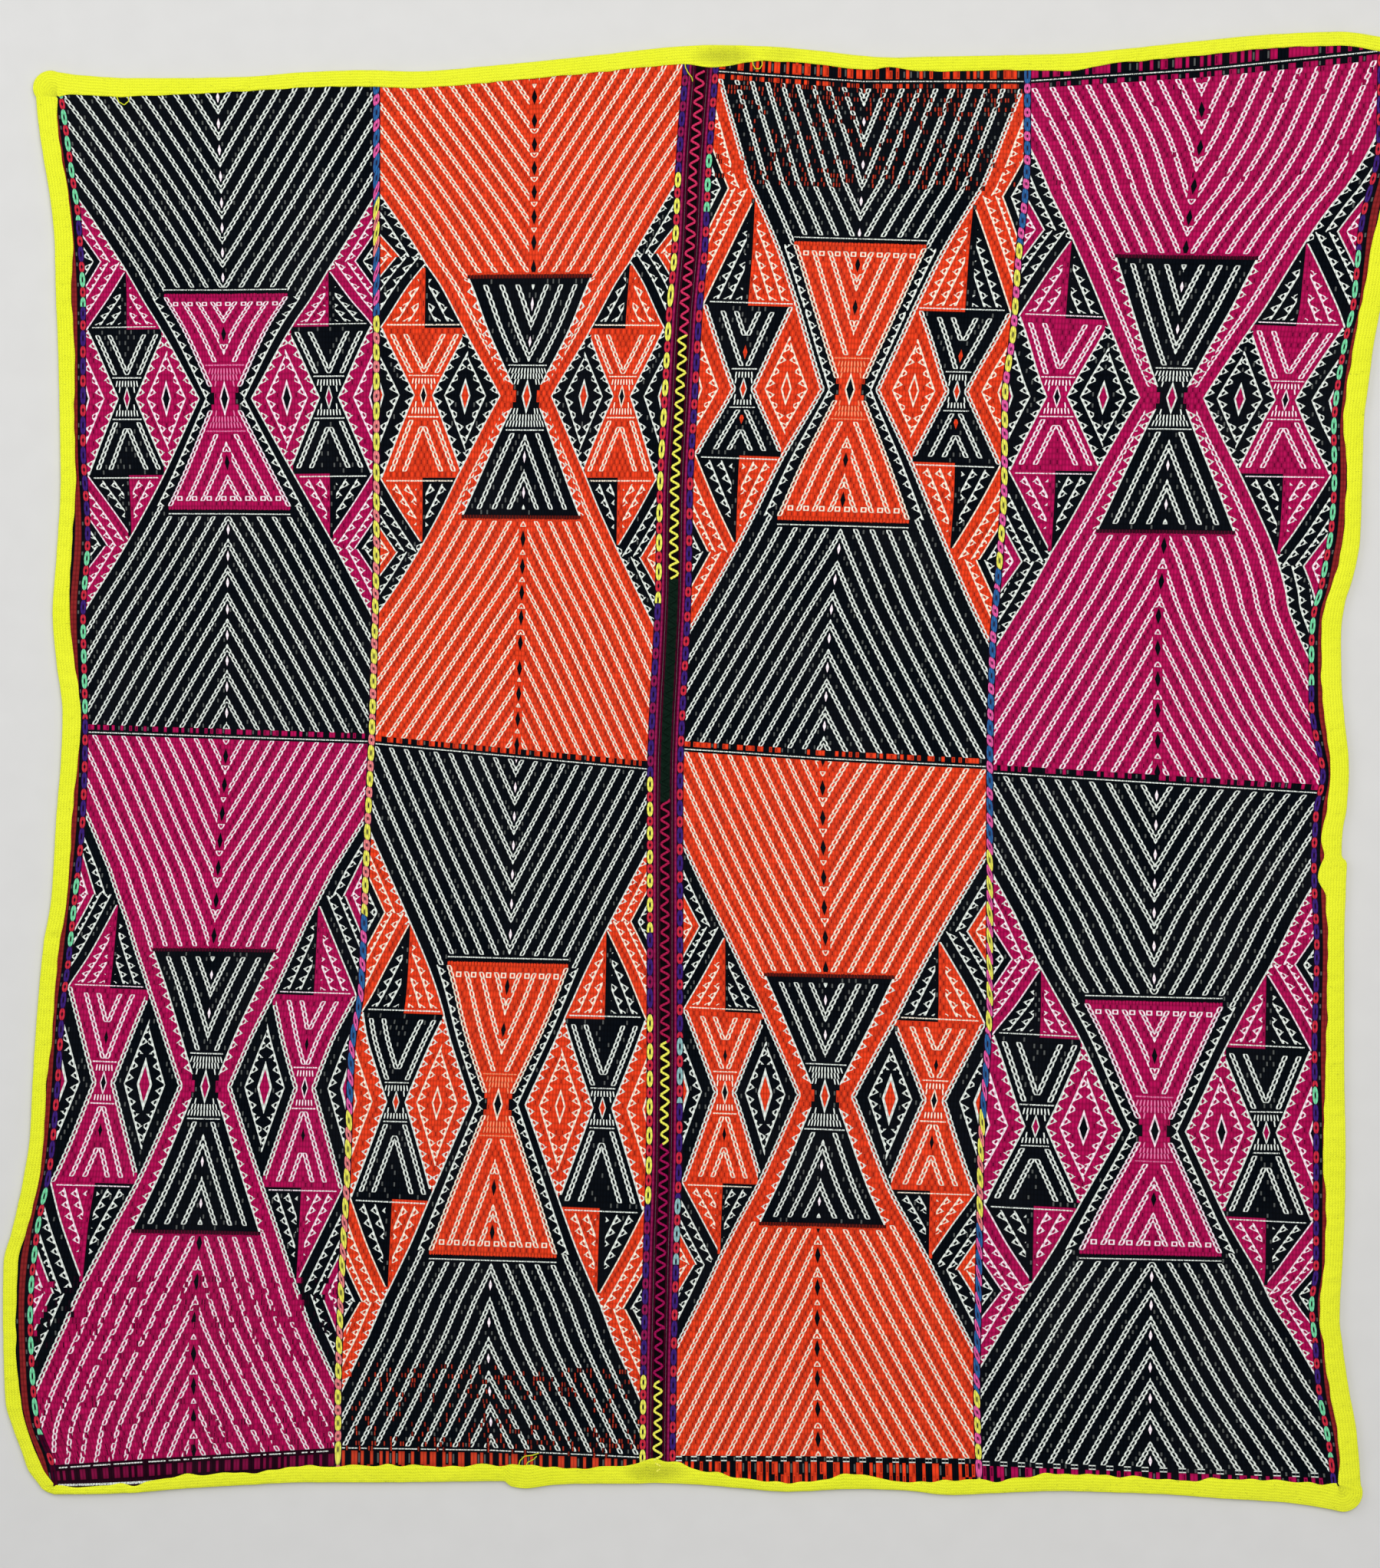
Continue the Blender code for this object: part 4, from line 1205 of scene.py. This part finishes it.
def knit_looks(name):
    """Bright knit tape, with slanting stitches in two courses and painted shade in their hollows."""
    looks = Looks(name)
    along, inward, _ = looks.parts(looks.map("tape"))
    place = looks.place()
    drift = looks.noise(looks.stretched(place, 90.0, 90.0, 90.0), 1.0, 3.0)
    fibres = looks.noise(looks.stretched(place, 1500.0, 1500.0, 900.0), 1.0, 4.0, 0.65)
    slant = (inward * 2.6 + drift * 0.9).sine() * 0.9
    stitch = ((along + slant) * 3.4).sine() * 0.5 + 0.5
    wale = (inward * 2.9 + drift * 2.2).sine() * 0.5 + 0.5
    knit = stitch * 0.6 + wale * 0.4
    # Painted shade: the stitches' hollows are painted a darker olive yellow and their crowns bright
    # yellow. The same knit shape also gives the bump.
    painted_stitch_shade = looks.mix(knit * 0.75 + fibres * 0.35, (0.52, 0.56, 0.006, 1.0), (0.90, 0.95, 0.022, 1.0))
    blotch = looks.noise(looks.stretched(place, 22.0, 22.0, 22.0), 1.0, 2.0)
    colour = looks.mix((blotch - 0.3) * 0.35, painted_stitch_shade, (0.95, 0.93, 0.05, 1.0))
    speck = looks.noise(looks.stretched(place, 420.0, 900.0, 420.0), 1.0, 2.0, 0.7)
    colour = looks.mix((speck > 0.66) * 0.55, colour, (0.30, 0.32, 0.01, 1.0))

    # Stretches where the tape is pulled into an open net, with holes that close away from the middle.
    # The holes are painted near black, as painted shade inside them.
    x, y, _ = looks.parts(place)
    holes = abs(((x + y) * 2900.0).sine() * ((x - y) * 2900.0).sine()) + speck * 0.3 - 0.15
    painted_dark_holes = 0.0
    for middle_x, middle_y, closed in OPEN_NETS:
        away = (x - middle_x) * (x - middle_x) * 1500.0 + (y - middle_y) * (y - middle_y) * 14000.0
        painted_dark_holes = painted_dark_holes + (holes > away * 0.6 + closed)
    colour = looks.mix(painted_dark_holes * 0.72, colour, (0.07, 0.07, 0.01, 1.0))
    looks.join(colour, looks.shader.inputs["Base Color"])
    looks.join(0.86 - fibres * 0.14, looks.shader.inputs["Roughness"])
    folds = looks.noise(looks.stretched(place, 110.0, 110.0, 110.0), 1.0, 2.0, 0.5)
    height = knit * 0.7 + fibres * 0.5 + folds * 4.0
    looks.join(looks.relief(height, 0.0006, 0.8), looks.shader.inputs["Normal"])
    looks.shader.inputs["Specular IOR Level"].default_value = 0.2
    looks.shader.inputs["Sheen Weight"].default_value = 0.1
    return looks.material


def thread_looks(name):
    """Spun sewing thread in the colour that each face holds, with painted shade in the grooves of its
    twist.
    """
    looks = Looks(name)
    along, around, _ = looks.parts(looks.map("thread"))
    place = looks.place()
    fibres = looks.noise(looks.stretched(place, 1800.0, 1800.0, 1800.0), 1.0, 3.0, 0.6)
    twist = ((along * 3.1 + around * 6.2832).sine()) * 0.5 + 0.5
    # Painted shade: the thread's colour is darkened in the grooves of its twist. The twist also gives
    # the bump and roughness.
    painted_shade = 0.66 + twist * 0.28 + fibres * 0.2
    looks.join(looks.shaded(looks.held("ground"), painted_shade), looks.shader.inputs["Base Color"])
    looks.join(0.9 - twist * 0.1, looks.shader.inputs["Roughness"])
    looks.join(looks.relief(twist * 0.6 + fibres * 0.5, 0.0003, 0.8), looks.shader.inputs["Normal"])
    looks.shader.inputs["Specular IOR Level"].default_value = 0.03
    return looks.material


SEAM_STEP = 4.75        # half of one zigzag along the seam
SEAM_SWING = 2.9        # how far the zigzag reaches to either side
THREAD_RADIUS = 0.9
BARE_LOW_END = 4.0      # length of the band's ends that has no zigzag
BARE_HIGH_END = 11.0
GREEN_STRETCH = (755, 1042)  # y in plan pixels between which the band's core is green
SEAM_THREADS = (  # down to this y in plan pixels, colour of the zigzag
    (438, linear(204, 48, 92)),
    (755, YELLOW),
    (1042, SEAM_GREEN),
    (1359, linear(166, 28, 72)),
    (1491, YELLOW),
    (1800, linear(156, 18, 80)),
    (2100, YELLOW),
)


def seam_ends():
    """The y of the seam's two ends, inside the tape's fold."""
    low, high = 0.0, 0.0
    for _ in range(6):
        low = float(bottom_outer(seam_line(low))) + TUCK
        high = float(top_outer(seam_line(high))) - TUCK
    return low, high


def rings_to_faces(rings, around, closed=False):
    """Faces between rings of points, and over the two ends unless it is closed."""
    faces = []
    total = rings if closed else rings - 1
    for k in range(total):
        here, there = k * around, (k + 1) % rings * around
        for i in range(around):
            following = (i + 1) % around
            faces.append((here + i, here + following, there + following, there + i))
    if not closed:
        last = (rings - 1) * around
        faces.append(tuple(range(around - 1, -1, -1)))
        faces.append(tuple(last + i for i in range(around)))
    return faces


def tube(path, radius, sides):
    """The points, faces and lengths along it of a thread that follows a path."""
    vectors = [mathutils.Vector(point) for point in path]
    points, lengths = [], []
    run = 0.0
    for k, point in enumerate(vectors):
        before = vectors[max(k - 1, 0)]
        after = vectors[min(k + 1, len(vectors) - 1)]
        ahead = (after - before).normalized()
        sideways = ahead.cross(mathutils.Vector((0.0, 0.0, 1.0))).normalized()
        upward = sideways.cross(ahead)
        for i in range(sides):
            angle = 2.0 * math.pi * i / sides
            flattened = upward * math.sin(angle) * 0.75
            points.append(tuple(point + (sideways * math.cos(angle) + flattened) * radius))
        if k:
            run += (point - vectors[k - 1]).length
        lengths.append(run)
    return points, rings_to_faces(len(vectors), sides), lengths


def add_seam(material):
    """The joining seam: a low band of thread with a coloured zigzag laid over it."""
    low, high = seam_ends()
    points, faces, colours, layout = [], [], [], []
    rows = 360
    places = np.linspace(low, high, rows)
    chance = np.random.default_rng(SEED + 5)
    section = (-1.0, -0.7, -0.35, 0.0, 0.35, 0.7, 1.0)
    around = len(section) + 2
    for k, y in enumerate(places):
        middle = float(seam_line(y))
        lift = float(edge_lift(middle, y))
        points.append((middle - SEAM_HALF, y, lift))
        for share in section:
            rib = 0.16 * math.sin(k * 1.9 + share * 2.0)
            height = CLOTH - 0.35 + 0.4 * (1.0 - share * share) + rib * (1.0 - abs(share))
            points.append((middle + share * SEAM_HALF, y, lift + height))
        points.append((middle + SEAM_HALF, y, lift))
    faces += [tuple(reversed(face)) for face in rings_to_faces(rows, around)]
    for face in faces:
        strand = face[0] % around
        plan_y = PLAN_MIDDLE[1] - points[face[0]][1] / PLAN_SCALE
        core = SEAM_GREEN if GREEN_STRETCH[0] < plan_y < GREEN_STRETCH[1] else SEAM_DARK
        colours.append(core if 2 <= strand <= 5 else MAROON)
    for face in faces:
        for point in face:
            layout.append((points[point][1] * 0.4, (point % around) / around))

    # The zigzag: straight runs across the band with small turns at either side
    steps = int((high - low - BARE_LOW_END - BARE_HIGH_END) / SEAM_STEP)
    path, path_colours = [], []
    for step in range(steps):
        y = low + BARE_LOW_END + step * SEAM_STEP
        swing = (1.0 if step % 2 else -1.0) * chance.normal(1.0, 0.1)
        jitter = chance.normal(0.0, 0.7, 2)
        for share, rise in ((0.0, 0.1), (0.2, 0.45), (0.4, 0.75), (0.6, 0.75), (0.8, 0.45)):
            across = swing * math.cos(math.pi * share) * SEAM_SWING
            at_y = y + share * SEAM_STEP + jitter[1] * 0.4
            middle = float(seam_line(at_y))
            lift = float(edge_lift(middle, at_y))
            path.append((middle + across + jitter[0] * 0.4, at_y, lift + CLOTH + 0.35 + rise))
            plan_y = PLAN_MIDDLE[1] - at_y / PLAN_SCALE
            path_colours.append(next(colour for limit, colour in SEAM_THREADS if plan_y < limit))
    sides = 6
    start = len(points)
    zigzag, zigzag_faces, lengths = tube(path, THREAD_RADIUS, sides)
    points += zigzag
    for face in zigzag_faces:
        colours.append(path_colours[min(face) // sides])
        for point in face:
            layout.append((lengths[point // sides], (point % sides) / sides))
    faces += [tuple(point + start for point in face) for face in zigzag_faces]
    piece = new_piece("seam", points, faces, material)
    face_values(piece.data, "ground", colours)
    lay_out(piece.data, "thread", layout)
    return piece


TAPE_STEP = 2.2
FOLD = 1.1
SCALLOP = {"bottom": 1.7, "corner": 0.3, "right": 0.8, "left": 0.5, "top": 0.5}
LOOSE_RADIUS = 0.4
LOOSE_LIFT = 0.75       # from the cloth's face up to a loose thread's middle


def tape_course():
    """Stations round the cloth, anticlockwise: the outer point, the way in, and the width."""
    course = []

    def turn_corner(corner):
        _, corner_x, corner_y, start, _, _ = corner
        for step in range(17):
            share = step / 16
            angle = math.radians(start + 90.0 * share)
            out_x, out_y = math.cos(angle), math.sin(angle)
            reach = corner_reach(corner, share)
            outer = (corner_x + out_x * reach, corner_y + out_y * reach)
            course.append((outer, (-out_x, -out_y), reach - CORNER_CORE, "corner"))

    def stations(start, end):
        steps = round((end - start) / TAPE_STEP)
        return [start + (end - start) * (i + 0.5) / steps for i in range(steps)]

    sides = (  # in the order of the corners that they follow
        ("bottom", BOTTOM_EDGE, bottom_outer, bottom_width, (0.0, 1.0)),
        ("right", RIGHT_EDGE, right_outer, right_width, (-1.0, 0.0)),
        ("top", TOP_EDGE, top_outer, top_width, (0.0, -1.0)),
        ("left", LEFT_EDGE, left_outer, left_width, (1.0, 0.0)),
    )
    for corner, (edge, rows, outer, width, inward) in zip(corners(), sides):
        turn_corner(corner)
        places = stations(rows[0][0], rows[-1][0])
        for place in places if edge in ("bottom", "right") else reversed(places):
            at = float(outer(place))
            point = (place, at) if edge in ("bottom", "top") else (at, place)
            course.append((point, inward, float(width(place)), edge))
    return course


LOOSE_ENDS = (  # x, y of plan pixels along each loose thread of the tape
    ((981, 77), (981.5, 86), (985, 91), (990, 91), (993.5, 86), (993, 77)),
    ((152, 124), (156, 134), (163, 138), (169, 133), (168, 124)),
    ((675, 1916), (678, 1903), (684, 1897), (694, 1896), (703, 1893)),
    ((684, 1914), (688, 1905), (696, 1901), (700, 1897)),
    ((893, 80), (893.5, 89), (897, 96), (902, 102), (903, 107)),
)


def add_binding(material):
    """The knit tape folded over the cloth's edge, puckered and scalloped along its inner side."""
    course = tape_course()
    total = len(course)
    chance = np.random.default_rng(SEED + 9)
    angles = 2.0 * math.pi * np.arange(total) / total

    def waves(cycles, size):
        """Uneven waves round the cloth that meet where they started."""
        wave = np.zeros(total)
        each = math.sqrt(2.0 / len(cycles)) * size
        for cycle in cycles:
            wave += each * np.sin(angles * cycle + chance.uniform(0.0, 6.28))
        return wave

    pucker = waves((310, 365, 402, 447, 520), 0.5)
    ruffle = waves((150, 190, 233, 275), 0.5)
    wander = waves((60, 92, 137, 171), 0.5)
    upper = LIFT + CLOTH + GAP
    points, layout_in = [], []
    for k, (outer, inward, width, edge) in enumerate(course):
        wide = width + (wander[k] * 0.6 + ruffle[k] * 0.4) * SCALLOP[edge]
        lower = width - LOWER_LEG_SHORT
        rim = 0.25 * ruffle[k]
        section = [
            (1.0, 0.0), (lower, 0.0), (lower, TAPE), (FOLD, TAPE), (FOLD, upper), (wide, upper),
            (wide + 0.15, upper + 0.35 * TAPE), (wide - 0.35, upper + 0.8 * TAPE),
        ]
        for share in (0.84, 0.7, 0.55, 0.4, 0.26, 0.14):
            bulge = CROWN * (1.0 - (2.0 * share - 1.0) ** 2)
            crease = 0.22 * pucker[k] * math.sin(math.pi * share) + 0.12 * ruffle[k]
            section.append((wide * share, upper + 0.86 * TAPE + bulge + crease))
        section += [
            (0.45 + rim * 0.3, upper + 0.62 * TAPE), (0.05 + rim * 0.3, upper - 0.1),
            (rim * 0.2, (upper + TAPE) / 2.0), (0.05, TAPE + 0.1), (0.35, 0.35),
        ]
        for distance, height in section:
            points.append((outer[0] + inward[0] * distance, outer[1] + inward[1] * distance, height))
            layout_in.append(distance + height)
    around = len(points) // total
    faces = rings_to_faces(total, around, closed=True)
    middles = [mathutils.Vector((*station[0], 0.0)) for station in course]
    runs = [0.0]
    for here, there in zip(middles, middles[1:] + middles[:1]):
        runs.append(runs[-1] + (there - here).length)
    layout = []
    for face in faces:
        closing = min(face) < around and max(face) >= (total - 1) * around
        for point in face:
            ring = total if closing and point < around else point // around
            layout.append((runs[ring], layout_in[point]))

    # Loose threads that lie on the cloth beside the tape
    for end in LOOSE_ENDS:
        places = np.array(end)
        steps = np.linspace(0.0, len(end) - 1.0, 4 * len(end))
        x = across_from_plan(np.interp(steps, range(len(end)), places[:, 0]))
        y = up_from_plan(np.interp(steps, range(len(end)), places[:, 1]))
        height = edge_lift(x, y) + swell(x, y) + CLOTH + LOOSE_LIFT
        start = len(points)
        thread, thread_faces, _ = tube(list(zip(x, y, height)), LOOSE_RADIUS, 5)
        points += thread
        for face in thread_faces:
            faces.append(tuple(point + start for point in face))
            layout += [(point * 0.7, 1.0) for point in faces[-1]]
    piece = new_piece("knit_binding", points, faces, material)
    lay_out(piece.data, "tape", layout)
    return piece


def add_floor():
    """A plain pale floor."""
    looks = Looks("pale_floor")
    place = looks.place()
    grain = looks.noise(looks.stretched(place, 40.0, 40.0, 40.0), 1.0, 3.0)
    looks.join(
        looks.mix(grain, (0.56, 0.55, 0.53, 1.0), (0.60, 0.59, 0.57, 1.0)),
        looks.shader.inputs["Base Color"],
    )
    looks.shader.inputs["Roughness"].default_value = 0.9
    mesh = bpy.data.meshes.new("floor")
    mesh.from_pydata(
        [(-4.0, -4.0, 0.0), (4.0, -4.0, 0.0), (4.0, 4.0, 0.0), (-4.0, 4.0, 0.0)], [], [(0, 1, 2, 3)]
    )
    mesh.materials.append(looks.material)
    add_object("floor", mesh, (0.0, 0.0, -0.0002))


def add_lamp(name, location, size, watts, colour):
    """A soft square lamp that faces the middle of the cloth."""
    lamp = bpy.data.lights.new(name, "AREA")
    lamp.shape = "SQUARE"
    lamp.size = size
    lamp.energy = watts
    lamp.color = colour
    holder = add_object(name, lamp, location)
    holder.rotation_euler = (-mathutils.Vector(location)).to_track_quat("-Z", "Y").to_euler()


# The camera looks straight down on a frame this big at the cloth
FRAME_MIDDLE = (-0.01135, -0.00957)
FRAME_HEIGHT = 1.1855
CAMERA_HEIGHT = 2.3


def add_camera():
    """The camera, straight above the cloth."""
    lens = bpy.data.cameras.new("camera")
    lens.sensor_fit = "VERTICAL"
    lens.sensor_height = 36.0
    lens.lens = 36.0 * CAMERA_HEIGHT / FRAME_HEIGHT
    lens.clip_end = 50.0
    bpy.context.scene.camera = add_object("camera", lens, (*FRAME_MIDDLE, CAMERA_HEIGHT))


panel_left = add_panel(
    "woven_panel_left", "left", left_chart(), LEFT_LEVELS, LEFT_ROWS, woven_looks("weave_left")
)
panel_right = add_panel(
    "woven_panel_right", "right", right_chart(), RIGHT_LEVELS, RIGHT_ROWS, woven_looks("weave_right")
)
seam = add_seam(thread_looks("seam_thread"))
binding = add_binding(knit_looks("yellow_knit"))
for piece, node, slot_name in (
    (panel_left, "panel_left", "woven_left"),
    (panel_right, "panel_right", "woven_right"),
    (seam, "centre_seam", "seam_thread"),
    (binding, "binding", "knit_tape"),
):
    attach(piece, "root")
    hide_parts(node)
add_floor()
add_camera()
add_lamp("overhead", (0.5, 0.6, 2.6), 2.4, 62.0, (1.0, 0.985, 0.96))
add_lamp("window_side", (-2.2, 1.2, 1.6), 1.6, 30.0, (0.93, 0.97, 1.0))
world = bpy.data.worlds.new("studio")
world.use_nodes = True
world.node_tree.nodes["Background"].inputs["Color"].default_value = (0.9, 0.93, 1.0, 1.0)
world.node_tree.nodes["Background"].inputs["Strength"].default_value = 0.45
bpy.context.scene.world = world
bpy.context.scene.view_settings.view_transform = "Standard"
